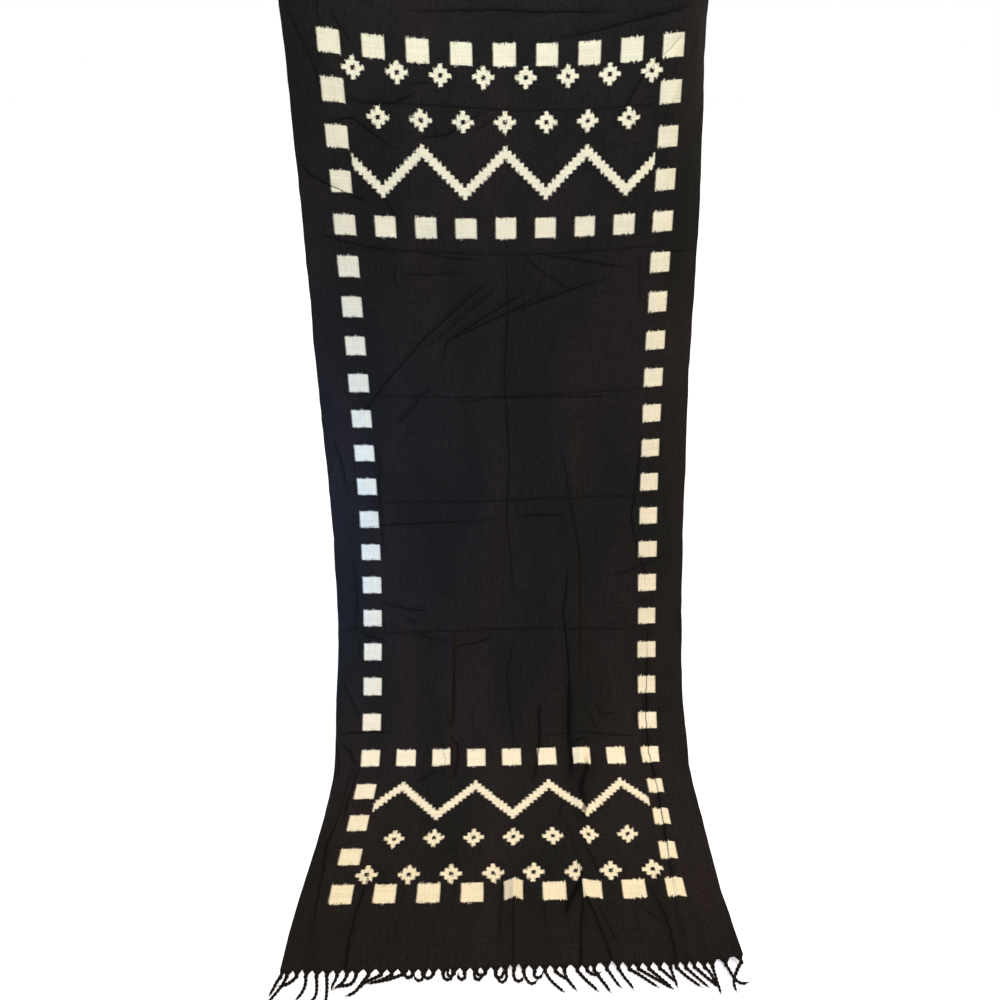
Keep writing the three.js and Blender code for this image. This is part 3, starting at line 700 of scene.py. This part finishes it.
# %% Hem cords
# across: where the cord leaves the hem. lean: degrees from straight out, positive to the right.
# bend and hook: how far it has turned after two thirds of its length, and in its last half.
HEM_CORD_COLUMNS = ("across", "lean", "bend", "hook", "length")
HEM_CORDS = [
    (-456, -28, 14, -10, 34), (-444, -15, -19, 0, 52), (-425, -34, -30, -20, 34),
    (-404, 16, -33, -22, 44),
    (-383, 15, -6, -55, 50), (-363, 14, -6, -8, 51), (-343, -8, -20, 30, 24), (-324, -14, -34, -10, 30),
    (-306, -7, -76, -3, 44), (-282, -36, 5, -45, 52), (-258, -63, -5, 36, 46), (-238, -58, -14, -8, 44),
    (-217, -68, -10, -7, 61), (-197, -30, -120, -90, 32), (-178, 20, -110, -60, 28),
    (-158, -24, -96, -110, 32),
    (-139, 6, 110, 90, 36), (-118, -30, -130, -60, 28), (-98, 24, -120, -80, 28), (-78, -16, 110, 100, 30),
    (-58, -34, -100, -60, 28), (-38, -10, 130, 60, 30), (-18, 20, -80, -100, 34), (0, -20, 90, 80, 34),
    (20, 13, 30, 90, 38), (42, -24, 116, 60, 28), (62, 25, 24, 0, 50), (82, 44, 20, -14, 34),
    (99, 9, 30, 0, 40), (124, 37, 10, 0, 50), (143, 40, 44, 40, 28), (162, 31, 6, -8, 46),
    (188, 36, -6, 8, 38), (210, 31, 8, -10, 42), (232, 60, -6, 0, 57), (250, 58, 0, 0, 66),
    (270, 47, 0, 0, 50), (291, 52, -14, 20, 34),
    (312, 10, 0, 0, 33), (324, 43, 8, 0, 50), (343, 43, 2, 0, 48), (361, 46, 0, 0, 50),
    (382, 44, -30, 6, 36),
    (398, 4, 0, 0, 46), (424, 24, 11, 71, 50), (454, -47, 20, 35, 51),
]
print("hem cords:", len(HEM_CORDS))

# %% Places past an end of the cloth
FAN_LENGTH = 12
FAN_HALF_WIDTH = 10
FLOOR_Z = -HELD_HEIGHT
CORD_RADIUS = 3.8


def edge_point(row, across, out=0.0):
    """A place past an end of the cloth in mm, out from it along the cloth, never under the floor."""
    def on_cloth(at_row):
        height = surface_height(np.array(float(across)), np.array(at_row))
        return drape(across, at_row, SHELL_LIFT + height) / MM

    edge, inner = on_cloth(row), on_cloth(row - math.copysign(0.05, row))
    place = edge + (edge - inner) / np.linalg.norm(edge - inner) * out
    place[2] = max(place[2], FLOOR_Z + FAN_THREAD_RADIUS)
    return place


def fan_starts(row, across):
    """Where the threads of one fan leave the cloth, side by side and 1 mm inside its edge."""
    spread = across + FAN_HALF_WIDTH * np.linspace(-1, 1, FAN_THREADS)
    return [edge_point(row, place, -1.0) for place in np.clip(spread, 1 - HALF_WIDTH, HALF_WIDTH - 1)]


# %% Lay the hem cords
dice = random.Random(5)
hem_points, hem_faces = [], []
for entry in HEM_CORDS:
    cord = dict(zip(HEM_CORD_COLUMNS, entry))
    knot = edge_point(HEM_ROW, cord["across"], FAN_LENGTH)
    knot[2] = max(knot[2] - 1.5, FLOOR_Z + 1.05 * KNOT_RADIUS)
    add_fan(fan_starts(HEM_ROW, cord["across"]), knot, hem_points, hem_faces)
    heading = math.radians(cord["lean"])
    add_knot(knot, (math.sin(heading), -math.cos(heading), 0), KNOT_RADIUS, hem_points, hem_faces)
    path, place, pieces = [knot], knot.copy(), 12
    for k in range(pieces):
        share = (k + 0.5) / pieces
        turn = cord["bend"] * float(smooth(share * 1.5)) + cord["hook"] * float(smooth(share * 2 - 1))
        angle = math.radians(cord["lean"] + turn)
        place = place + np.array([math.sin(angle), -math.cos(angle), 0]) * cord["length"] / pieces
        rest = FLOOR_Z + CORD_RADIUS + 0.1
        drop = float(smooth(share * 2.2))
        place[2] = knot[2] * (1 - drop) + rest * drop + 0.8 * dice.random() * drop
        path.append(place.copy())
    add_cord(path, hem_points, hem_faces, thickness=dice.uniform(0.92, 1.06), dice=dice)
hem_fringe = add_mesh("hem_fringe", hem_points, hem_faces)

# %% [markdown]
# ### The held end
#
# The same cords, but here nothing holds them out: they fall over the edge and hang behind the cloth.

# %% Held cords
HELD_SPACING = 20
HELD_COUNT = 45
HELD_LENGTH = 58

held_points, held_faces = [], []
for i in range(HELD_COUNT):
    across = (i - (HELD_COUNT - 1) / 2) * HELD_SPACING + dice.uniform(-2, 2)
    knot = edge_point(HELD_ROW, across, 4) + np.array([0, 3.5, 0])
    add_fan(fan_starts(HELD_ROW, across), knot, held_points, held_faces)
    add_knot(knot, (0, 0.8, -0.6), KNOT_RADIUS * 0.9, held_points, held_faces)
    sway, length = dice.uniform(-4, 4), HELD_LENGTH * dice.uniform(0.85, 1.0)
    path = [
        knot,
        knot + np.array([sway * 0.2, 4.5, -2]),
        knot + np.array([sway * 0.4, 6.5, -9]),
        knot + np.array([sway * 0.8, 7, -length * 0.5]),
        knot + np.array([sway, 7, -length * 0.8]),
    ]
    add_cord(path, held_points, held_faces, thickness=dice.uniform(0.92, 1.04), dice=dice)
held_fringe = add_mesh("held_fringe", held_points, held_faces)


# %% [markdown]
# ## Materials
#
# In double ikat both the warp and the weft are tied and dyed before weaving. Where tied warp crosses
# tied weft the cloth is cream. Where only one of them was tied it is half dark, as a fine chequer.
# No thread lies exactly where it should, so the ends of each figure are ragged along the warp, and
# its sides are dotted. A painted picture of that would blur close up. So the pattern is drawn by
# nodes, twice, once for each set of threads, with each thread pushed along by its own small amount.

# %% Node helper
def wire(tree, kind, *inputs, named=None, **settings):
    """Adds a node and gives back its first output.

    Kind may end in the operation of a maths node. Inputs are filled in order and the named ones by
    their names, each with a link or a plain value. Settings are the node's own properties.
    """
    kind, _, operation = kind.partition(" ")
    made = tree.nodes.new(kind if kind.startswith("NodeGroup") else "ShaderNode" + kind)
    if operation:
        made.operation = operation
    for name, value in settings.items():
        setattr(made, name, value)
    pairs = list(zip([s for s in made.inputs if s.enabled], inputs))
    for socket, value in pairs + [(made.inputs[name], value) for name, value in (named or {}).items()]:
        if isinstance(value, bpy.types.NodeSocket):
            tree.links.new(value, socket)
        elif value is not None:
            socket.default_value = value
    return next((s for s in made.outputs if s.enabled), made)


def chain(tree, kind, values):
    """Joins several values into one, two at a time."""
    joined, *rest = values
    for value in rest:
        joined = wire(tree, kind, joined, value)
    return joined

# %% [markdown]
# ### The chart
#
# The chart repeats in steps of the border. Its second half mirrors its first, so one distance from
# the nearer end draws both.

# %% Resist pattern
SQUARE_HALF = (0.256, 0.244)  # of a border step, across and along
WEFT_BEAT = (0.0033, 0.936)  # how much shorter the squares are at each row, and at the first
TIE_SPREAD = 0.08  # of its size, the most by which one tie differs from another
DIAMOND_UNIT = (0.102, 0.100)
DIAMOND_ROWS = (0.49, 1.50)
ZIGZAG_MIDDLE = 2.68
ZIGZAG_DEPTH = 0.97
ZIGZAG_STEPS = 10.0
ZIGZAG_HALF = 0.145
ZIGZAG_REACH = 3.69  # columns to each side of the middle one
MIDDLE_COLUMN = 4.0
LAST_ROW = 23
EDGE = 0.012

chart = bpy.data.node_groups.new("tied part of the thread", "ShaderNodeTree")
for name, way in (("column", "INPUT"), ("row", "INPUT"), ("tied", "OUTPUT")):
    chart.interface.new_socket(name, in_out=way, socket_type="NodeSocketFloat")
given = wire(chart, "NodeGroupInput").node
column, row = given.outputs["column"], given.outputs["row"]

# distance in steps from the nearer end row of squares
from_middle = wire(chart, "Math ABSOLUTE", wire(chart, "Math SUBTRACT", row, LAST_ROW / 2))
row_in = wire(chart, "Math SUBTRACT", LAST_ROW / 2, from_middle)
nearest_column = wire(chart, "Math ROUND", column)
nearest_row = wire(chart, "Math ROUND", row_in)
off_column = wire(chart, "Math SUBTRACT", column, nearest_column)
off_row = wire(chart, "Math SUBTRACT", row_in, nearest_row)

# the weft is beaten closer towards the hem, which shortens the squares, and no two ties are alike
each = wire(chart, "CombineXYZ", nearest_column, wire(chart, "Math ROUND", row))
chance = wire(chart, "TexWhiteNoise", each, noise_dimensions="2D").node.outputs["Color"]
tie = wire(chart, "SeparateXYZ", chance).node
closer = wire(chart, "Math MULTIPLY_ADD", row, *WEFT_BEAT)
closer = wire(chart, "Math MULTIPLY_ADD", tie.outputs["X"], TIE_SPREAD, closer)
wider = wire(chart, "Math MULTIPLY_ADD", tie.outputs["Y"], TIE_SPREAD, 1 - TIE_SPREAD / 2)
off_row = wire(chart, "Math MULTIPLY", off_row, closer)
off_column = wire(chart, "Math MULTIPLY", off_column, wider)

# %% Squares
sides = [
    wire(chart, "MapRange", wire(chart, "Math ABSOLUTE", off), half - EDGE, half + EDGE, 1.0, 0.0,
         interpolation_type="SMOOTHSTEP")
    for off, half in zip((off_column, off_row), SQUARE_HALF)
]
# squares stand in both side columns, and all along rows 0 and 4
lines_of_squares = ((nearest_column, 0.0), (nearest_column, 8.0), (nearest_row, 0.0), (nearest_row, 4.0))
is_square = [wire(chart, "Math COMPARE", nearest, number, 0.5) for nearest, number in lines_of_squares]
on_columns = wire(chart, "Math COMPARE", nearest_column, MIDDLE_COLUMN, 4.5)
on_rows = wire(chart, "Math COMPARE", nearest_row, 5.5, 5.9)
square = chain(chart, "Math MULTIPLY", [*sides, chain(chart, "Math MAXIMUM", is_square), on_columns, on_rows])


# %% Diamonds
def diamonds(off_across, off_along, first, last):
    """Stepped diamonds of five units by five, open in the middle."""
    units = [
        wire(chart, "Math ABSOLUTE", wire(chart, "Math ROUND", wire(chart, "Math DIVIDE", off, unit)))
        for off, unit in zip((off_across, off_along), DIAMOND_UNIT)
    ]
    inside = wire(chart, "Math COMPARE", wire(chart, "Math ADD", *units), 1.5, 0.9)
    allowed = wire(chart, "Math COMPARE", column, (first + last) / 2, (last - first) / 2 + 0.4)
    return wire(chart, "Math MULTIPLY", inside, allowed)


half_columns = wire(chart, "Math ADD", wire(chart, "Math FLOOR", column), 0.5)
off_half_column = wire(chart, "Math SUBTRACT", column, half_columns)
first_row, second_row = (wire(chart, "Math SUBTRACT", row_in, middle) for middle in DIAMOND_ROWS)
outer_diamonds = diamonds(off_half_column, first_row, 0.5, 7.5)
inner_diamonds = diamonds(off_column, second_row, 1, 7)

# %% Zigzag
stepped = wire(chart, "Math ROUND", wire(chart, "Math MULTIPLY", column, ZIGZAG_STEPS))
swing = wire(chart, "Math PINGPONG", wire(chart, "Math DIVIDE", stepped, ZIGZAG_STEPS), 1.0)
line = wire(chart, "Math MULTIPLY_ADD", swing, ZIGZAG_DEPTH, ZIGZAG_MIDDLE - ZIGZAG_DEPTH / 2)
within = wire(chart, "Math COMPARE", column, MIDDLE_COLUMN, ZIGZAG_REACH)
zigzag = wire(chart, "Math MULTIPLY", wire(chart, "Math COMPARE", row_in, line, ZIGZAG_HALF), within)

tied = chain(chart, "Math MAXIMUM", [square, outer_diamonds, inner_diamonds, zigzag])
wire(chart, "NodeGroupOutput", tied)
print("chart nodes:", len(chart.nodes))

# %% [markdown]
# ### Hand-woven cotton
#
# Yarn-dyed handloom cotton is matt, with a faint fuzz that catches light at a glancing angle. The
# yarn is uneven, so fine streaks run both ways. Real threads here are about 0.6 mm apart, which is
# a quarter of a pixel at this distance, so they are drawn in bundles of three.

# %% Ikat cotton
BUNDLE = 1.8  # mm, three threads
WARP_SHIFT = 4.4  # mm, the furthest a warp bundle is out of place, along itself
WEFT_SHIFT = 1.6
WEFT_LATE = 2.2  # mm, the whole weft pattern sits this far to the left
DRIFT = (-0.0036, 8.5)  # mm that the middle of the warp sits to one side: for each mm along, and at row 0


def new_material(name):
    """An empty material and its node tree."""
    made = bpy.data.materials.new(name)
    made.use_nodes = True
    made.node_tree.nodes.clear()
    return made, made.node_tree


ikat, tree = new_material("hand-woven ikat cotton")
split = wire(tree, "SeparateXYZ", wire(tree, "UVMap", uv_map="flat cloth")).node
across_mm = wire(tree, "Math MULTIPLY_ADD", split.outputs["X"], float(CLOTH_WIDTH), -HALF_WIDTH)
along_mm = wire(tree, "Math MULTIPLY_ADD", split.outputs["Y"], -CLOTH_LENGTH, HEM_ROW * ROW_STEP)
warp_number, weft_number = (
    wire(tree, "Math FLOOR", wire(tree, "Math DIVIDE", place, BUNDLE)) for place in (across_mm, along_mm))
warp_chance, weft_chance = (
    wire(tree, "TexWhiteNoise", number, noise_dimensions="1D") for number in (warp_number, weft_number))


# %% Threads out of place
def pushed(position, chance, furthest, late=0.0):
    """A position moved by one bundle's own share of the furthest shift. Most are nearly true."""
    centred = wire(tree, "Math MULTIPLY_ADD", chance, 2.0, -1.0)
    shift = wire(tree, "Math MULTIPLY_ADD", wire(tree, "Math POWER", centred, 3.0), furthest, late)
    return wire(tree, "Math ADD", position, shift)


# the tied groups of warp were set up a little too far to one side in the middle, most at the held end
middling = wire(tree, "Math COSINE", wire(tree, "Math MULTIPLY", across_mm, math.pi / CLOTH_WIDTH))
drift = wire(tree, "Math MULTIPLY", wire(tree, "Math MULTIPLY_ADD", along_mm, *DRIFT), middling)


# %% Reading the chart
def chart_at(across, along):
    """The chart read at a place in mm."""
    from_column = wire(tree, "Math ADD", wire(tree, "Math SUBTRACT", across, drift), float(SIDE_COLUMN))
    steps_across = wire(tree, "Math DIVIDE", from_column, float(COLUMN_STEP))
    steps_along = wire(tree, "Math DIVIDE", along, float(ROW_STEP))
    return wire(tree, "Group", steps_across, steps_along, node_tree=chart)


tied_warp = chart_at(across_mm, pushed(along_mm, warp_chance, WARP_SHIFT))
tied_weft = chart_at(pushed(across_mm, weft_chance, WEFT_SHIFT, WEFT_LATE), along_mm)

# plain weave: warp and weft take turns on top. The warp is the closer set, so it shows twice as much
turn = wire(tree, "Math FLOORED_MODULO", wire(tree, "Math ADD", warp_number, weft_number), 3.0)
turn = wire(tree, "Math LESS_THAN", turn, 0.5)
on_top = wire(tree, "Mix", turn, tied_warp, tied_weft, data_type="FLOAT")

# %% [markdown]
# Neither colour is even. The cream yarn has thick and thin places, and the black has taken the dye
# in long soft clouds, a little redder or bluer from place to place.

# %% Yarn colour
CREAM = linear("#eeead3")
flat_mm = wire(tree, "CombineXYZ", across_mm, along_mm, 0.0)


def uneven(size_across, size_along, detail):
    """A soft unevenness, drawn out to these sizes in mm across and along the cloth."""
    stretched = wire(tree, "Mapping", flat_mm, None, None, (1 / size_across, 1 / size_along, 1.0))
    return wire(tree, "TexNoise", stretched, 1.0, detail, noise_dimensions="2D")


def dimmed(paint, light):
    """A colour with its light multiplied by a value."""
    return wire(tree, "VectorMath MULTIPLY", paint, wire(tree, "CombineXYZ", light, light, light))


warp_streak, weft_streak, clouds = uneven(2.6, 60, 3.0), uneven(110, 2.6, 3.0), uneven(120, 420, 1.0)
streaks = wire(tree, "Math MULTIPLY_ADD", warp_streak, 1.3, -0.9)
streaks = wire(tree, "Math MULTIPLY_ADD", weft_streak, 0.5, streaks)
mottle = wire(tree, "TexNoise", flat_mm, 1 / 7, 5.0, noise_dimensions="2D")

cream_light = wire(tree, "Math MULTIPLY_ADD", warp_streak, 0.26, 0.72)
cream_light = wire(tree, "Math MULTIPLY_ADD", weft_streak, 0.3, cream_light)
tint = wire(tree, "MapRange", clouds, 0.35, 0.65, 0.0, 1.0)
dye = wire(tree, "Mix", tint, linear("#171818"), linear("#1f1b1c"), data_type="RGBA")
dye_light = wire(tree, "Math MULTIPLY_ADD", mottle, 1.1, 0.42)
dye_light = wire(tree, "Math MULTIPLY_ADD", streaks, 0.7, dye_light)
colour = wire(tree, "Mix", on_top, dimmed(dye, dye_light), dimmed(CREAM[:3], cream_light), data_type="RGBA")

# %% [markdown]
# Along a hairline crease the cloth is doubled and stands on edge, so hardly any light comes back from
# it. That shade is painted into the colour, drawn from the distances on the points: dark within a
# millimetre or two, and gone past it.

# %% Hairlines of painted shade
# the painted shade of the hairlines: how much light it takes from each colour
CREAM_LOSS = 0.75  # of its light, along the hardest crease
BLACK_LOSS = 0.92
SOFTER_ON_CREAM = 3.0  # a light crease shows on cream far less than a hard one
WANDER = 3.0  # mm, the furthest a hairline strays from its line
LINE_EDGE = (0.4, 1.6)  # half-widths of the hairline, between which it fades out
# a soft painted shade also lies beside each hairline
SHADE_REACH = 6.0  # half-widths of the hairline, for the soft shade beside it
SHADE = 0.35

stray = wire(tree, "TexNoise", flat_mm, 1 / 22, 3.0, noise_dimensions="2D")
stray = wire(tree, "Math MULTIPLY_ADD", stray, 2 * WANDER, -WANDER)
painted_line_shades, beside = [], []
for k in range(HAIRLINE_LAYERS):
    vector = wire(tree, "Attribute", attribute_name="hairlines %d" % k).node.outputs["Vector"]
    parts = wire(tree, "SeparateXYZ", vector).node
    off = wire(tree, "Math ABSOLUTE", wire(tree, "Math ADD", parts.outputs["X"], stray))
    widths = wire(tree, "Math DIVIDE", off, parts.outputs["Z"])
    for ramp, kept in (((*LINE_EDGE, 1.0, 0.0), painted_line_shades), ((0.0, SHADE_REACH, SHADE, 0.0), beside)):
        near = wire(tree, "MapRange", widths, *ramp, interpolation_type="SMOOTHSTEP")
        kept.append(wire(tree, "Math MULTIPLY", near, parts.outputs["Y"]))
painted_crease_shade, shade = (chain(tree, "Math MAXIMUM", kept) for kept in (painted_line_shades, beside))

# %% [markdown]
# Between them runs a loose net of much fainter lines of painted shade, only here and there, where the
# cloth was once crumpled in a ball. Cells of random sizes with bent sides look like that.

# %% Rumple net of painted shade
RUMPLE_SIZE = 75.0  # mm, between the faint creases
RUMPLE_HALF = 0.7  # mm
# the strongest painted shade along the net's lines
RUMPLE_DARK = 0.35
RUMPLE_BEND = 90.0  # mm, how far the net's lines are pushed about

bend = wire(tree, "TexNoise", flat_mm, 1 / 60, 3.0, noise_dimensions="2D").node.outputs["Color"]
bent = wire(tree, "VectorMath MULTIPLY_ADD", bend, (RUMPLE_BEND, RUMPLE_BEND, 0.0), flat_mm)
painted_rumple_shade = wire(tree, "TexVoronoi", bent, 1 / RUMPLE_SIZE, feature="DISTANCE_TO_EDGE", voronoi_dimensions="2D")
painted_rumple_shade = wire(tree, "MapRange", painted_rumple_shade, 0.3 * RUMPLE_HALF / RUMPLE_SIZE, 2 * RUMPLE_HALF / RUMPLE_SIZE,
           RUMPLE_DARK, 0.0, interpolation_type="SMOOTHSTEP")
where = wire(tree, "TexNoise", flat_mm, 1 / 110, 2.0, noise_dimensions="2D")
where = wire(tree, "MapRange", where, 0.47, 0.6, 0.0, 1.0)
painted_crease_shade = wire(tree, "Math MAXIMUM", painted_crease_shade, wire(tree, "Math MULTIPLY", painted_rumple_shade, where))

# the painted shade of the creases darkens the colour: hard on black, far less on cream
on_cream = wire(tree, "Math POWER", painted_crease_shade, SOFTER_ON_CREAM)
cream_kept = wire(tree, "Math MULTIPLY_ADD", on_cream, -CREAM_LOSS, 1.0)
black_kept = wire(tree, "Math MULTIPLY_ADD", painted_crease_shade, -BLACK_LOSS, 1.0)
black_kept = wire(tree, "Math MULTIPLY", black_kept, wire(tree, "Math SUBTRACT", 1.0, shade))
colour = dimmed(colour, wire(tree, "Mix", on_top, black_kept, cream_kept, data_type="FLOAT"))

# %% [markdown]
# The weave stands up under the light as rows of small crowns, one on each bundle where it is on top.

# %% Weave and finish
WEAVE_RISE = 0.14  # mm
DENT_RISE = 4.0  # mm, of the soft dents a few centimetres wide that cotton keeps from being handled


def crowns(position):
    """A rounded crown on each bundle."""
    wave = wire(tree, "Math SINE", wire(tree, "Math MULTIPLY", position, math.pi / BUNDLE))
    return wire(tree, "Math ABSOLUTE", wave)


weave = wire(tree, "Mix", turn, crowns(across_mm), crowns(along_mm), data_type="FLOAT")
weave = wire(tree, "Math MULTIPLY_ADD", streaks, 0.5, weave)
dents = wire(tree, "Bump", 0.8, DENT_RISE * MM, None, uneven(30, 46, 4.0))
bump = wire(tree, "Bump", 0.7, WEAVE_RISE * MM, None, weave, dents)
wire(tree, "OutputMaterial", wire(tree, "BsdfPrincipled", named={
    "Base Color": colour, "Normal": bump, "Roughness": 0.88, "IOR": 1.46,
    "Specular IOR Level": 0.12, "Sheen Weight": 0.06, "Sheen Roughness": 0.5,
}))
cloth.data.materials.append(ikat)
print("cotton nodes:", len(tree.nodes))

# %% [markdown]
# The fringe is the same black warp yarn. Twisted hard, it is a little glossier along each ply, and
# dust makes it slightly paler in patches.

# %% Twisted cotton yarn
YARN = 0.7  # mm, one yarn of a ply
DUST = 14  # mm, from one paler patch to the next

yarn, tree = new_material("twisted black cotton yarn")
place = wire(tree, "TexCoord").node.outputs["Object"]
grain = wire(tree, "TexNoise", place, 1 / (YARN * MM), 2.0)
patches = wire(tree, "TexNoise", place, 1 / (DUST * MM), 2.0)
mixed = wire(tree, "Mix", patches, linear("#0d0b0b"), linear("#1c1714"), data_type="RGBA")
bump = wire(tree, "Bump", 0.8, YARN / 2 * MM, None, grain)
wire(tree, "OutputMaterial", wire(tree, "BsdfPrincipled", named={
    "Base Color": mixed, "Normal": bump, "Roughness": 0.8, "IOR": 1.46,
    "Specular IOR Level": 0.15, "Sheen Weight": 0.03,
}))
for fringe in (hem_fringe, held_fringe):
    fringe.data.materials.append(yarn)

# %% [markdown]
# ## Floor and light
#
# A plain pale floor and a white room. Most light is soft: a wide sun from above and a large lamp in
# front of the hanging part. Two warm lamps on the right and a cool one on the left, as from a window,
# give the folds their shape.

# %% Floor
FLOOR_RADIUS = 60
FLOOR_GLOW = 0.5

floor = add_mesh("floor", [
    (FLOOR_RADIUS * math.cos(a), FLOOR_RADIUS * math.sin(a), FLOOR_Z * MM)
    for a in np.linspace(0, 2 * math.pi, 64, endpoint=False)
], [tuple(range(64))], smooth_faces=False)
paint, tree = new_material("matt white paint")
speckle = wire(tree, "TexNoise", wire(tree, "TexCoord").node.outputs["Object"], 2.0, 2.0)
pale = wire(tree, "Mix", speckle, linear("#ecf2fc"), linear("#f3f7ff"), data_type="RGBA")
# the eye sees white paint that glows a little, but less light comes back from it to the cloth, so
# that the folds keep their shape
seen = wire(tree, "LightPath").node.outputs["Is Camera Ray"]
pale = wire(tree, "Mix", seen, linear("#aab4c0"), pale, data_type="RGBA")
wire(tree, "OutputMaterial", wire(tree, "BsdfPrincipled", named={
    "Base Color": pale, "Roughness": 0.9, "Emission Color": linear("#eef3ff"),
    "Emission Strength": wire(tree, "Math MULTIPLY", seen, FLOOR_GLOW),
}))
floor.data.materials.append(paint)

# %% Light
scene.world = bpy.data.worlds.new("bright room")
scene.world.use_nodes = True
tree = scene.world.node_tree
tree.nodes.clear()
room = wire(tree, "Background", linear("#fbfbfd"), 0.25)
backdrop = wire(tree, "Background", linear("#ffffff"), 1.0)
seen = wire(tree, "LightPath").node.outputs["Is Camera Ray"]
wire(tree, "OutputWorld", wire(tree, "MixShader", seen, room, backdrop))

# name, kind, place and aim in metres, size in metres or radians, power, colour, spread of an area lamp
LAMPS = [
    ("soft ceiling", "SUN", (0.1, -0.2, 1), (0, 0, 0), 0.8, 2.35, "#ffe6c4", None),
    ("upper lamp", "AREA", (0, -0.9, 0.5), (0, 0, -0.1), 0.7, 9.6, "#ecf8ff", math.pi),
    ("warm lamp", "AREA", (0.9, -0.8, -0.9), (0.3, -0.15, -1.0), 0.5, 2.4, "#ffe6c8", math.pi),
    ("low lamp", "AREA", (1.1, -1.6, -1.3), (0.1, -0.95, -1.75), 0.5, 1.5, "#ffc78c", math.pi),
    ("cool window", "AREA", (-1.0, -0.55, -1.12), (-0.35, -0.1, -1.22), 0.6, 3.6, "#4ca4ff", 1.9),
]
for name, kind, at, to, size, power, hex_colour, spread in LAMPS:
    light = bpy.data.lights.new(name, kind)
    light.energy = power
    light.color = linear(hex_colour)[:3]
    if kind == "SUN":
        light.angle = size
    else:
        light.size, light.spread = size, spread
    lamp = bpy.data.objects.new(name, light)
    lamp.location = at
    lamp.rotation_euler = (Vector(to) - Vector(at)).to_track_quat("-Z", "Y").to_euler()
    scene.collection.objects.link(lamp)
print("lamps:", len(LAMPS))

# %% [markdown]
# ## The pieces on the CAD frame
#
# Each piece rides on the one body and stands for its CAD node, whose part is hidden.

# %% Ride and replace
for piece, cad_node, finish in (
    (cloth, "cloth", "cloth"),
    (hem_fringe, "fringe_hem", "fringe"),
    (held_fringe, "fringe_held", "fringe"),
):
    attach(piece, "root")
    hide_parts(cad_node)
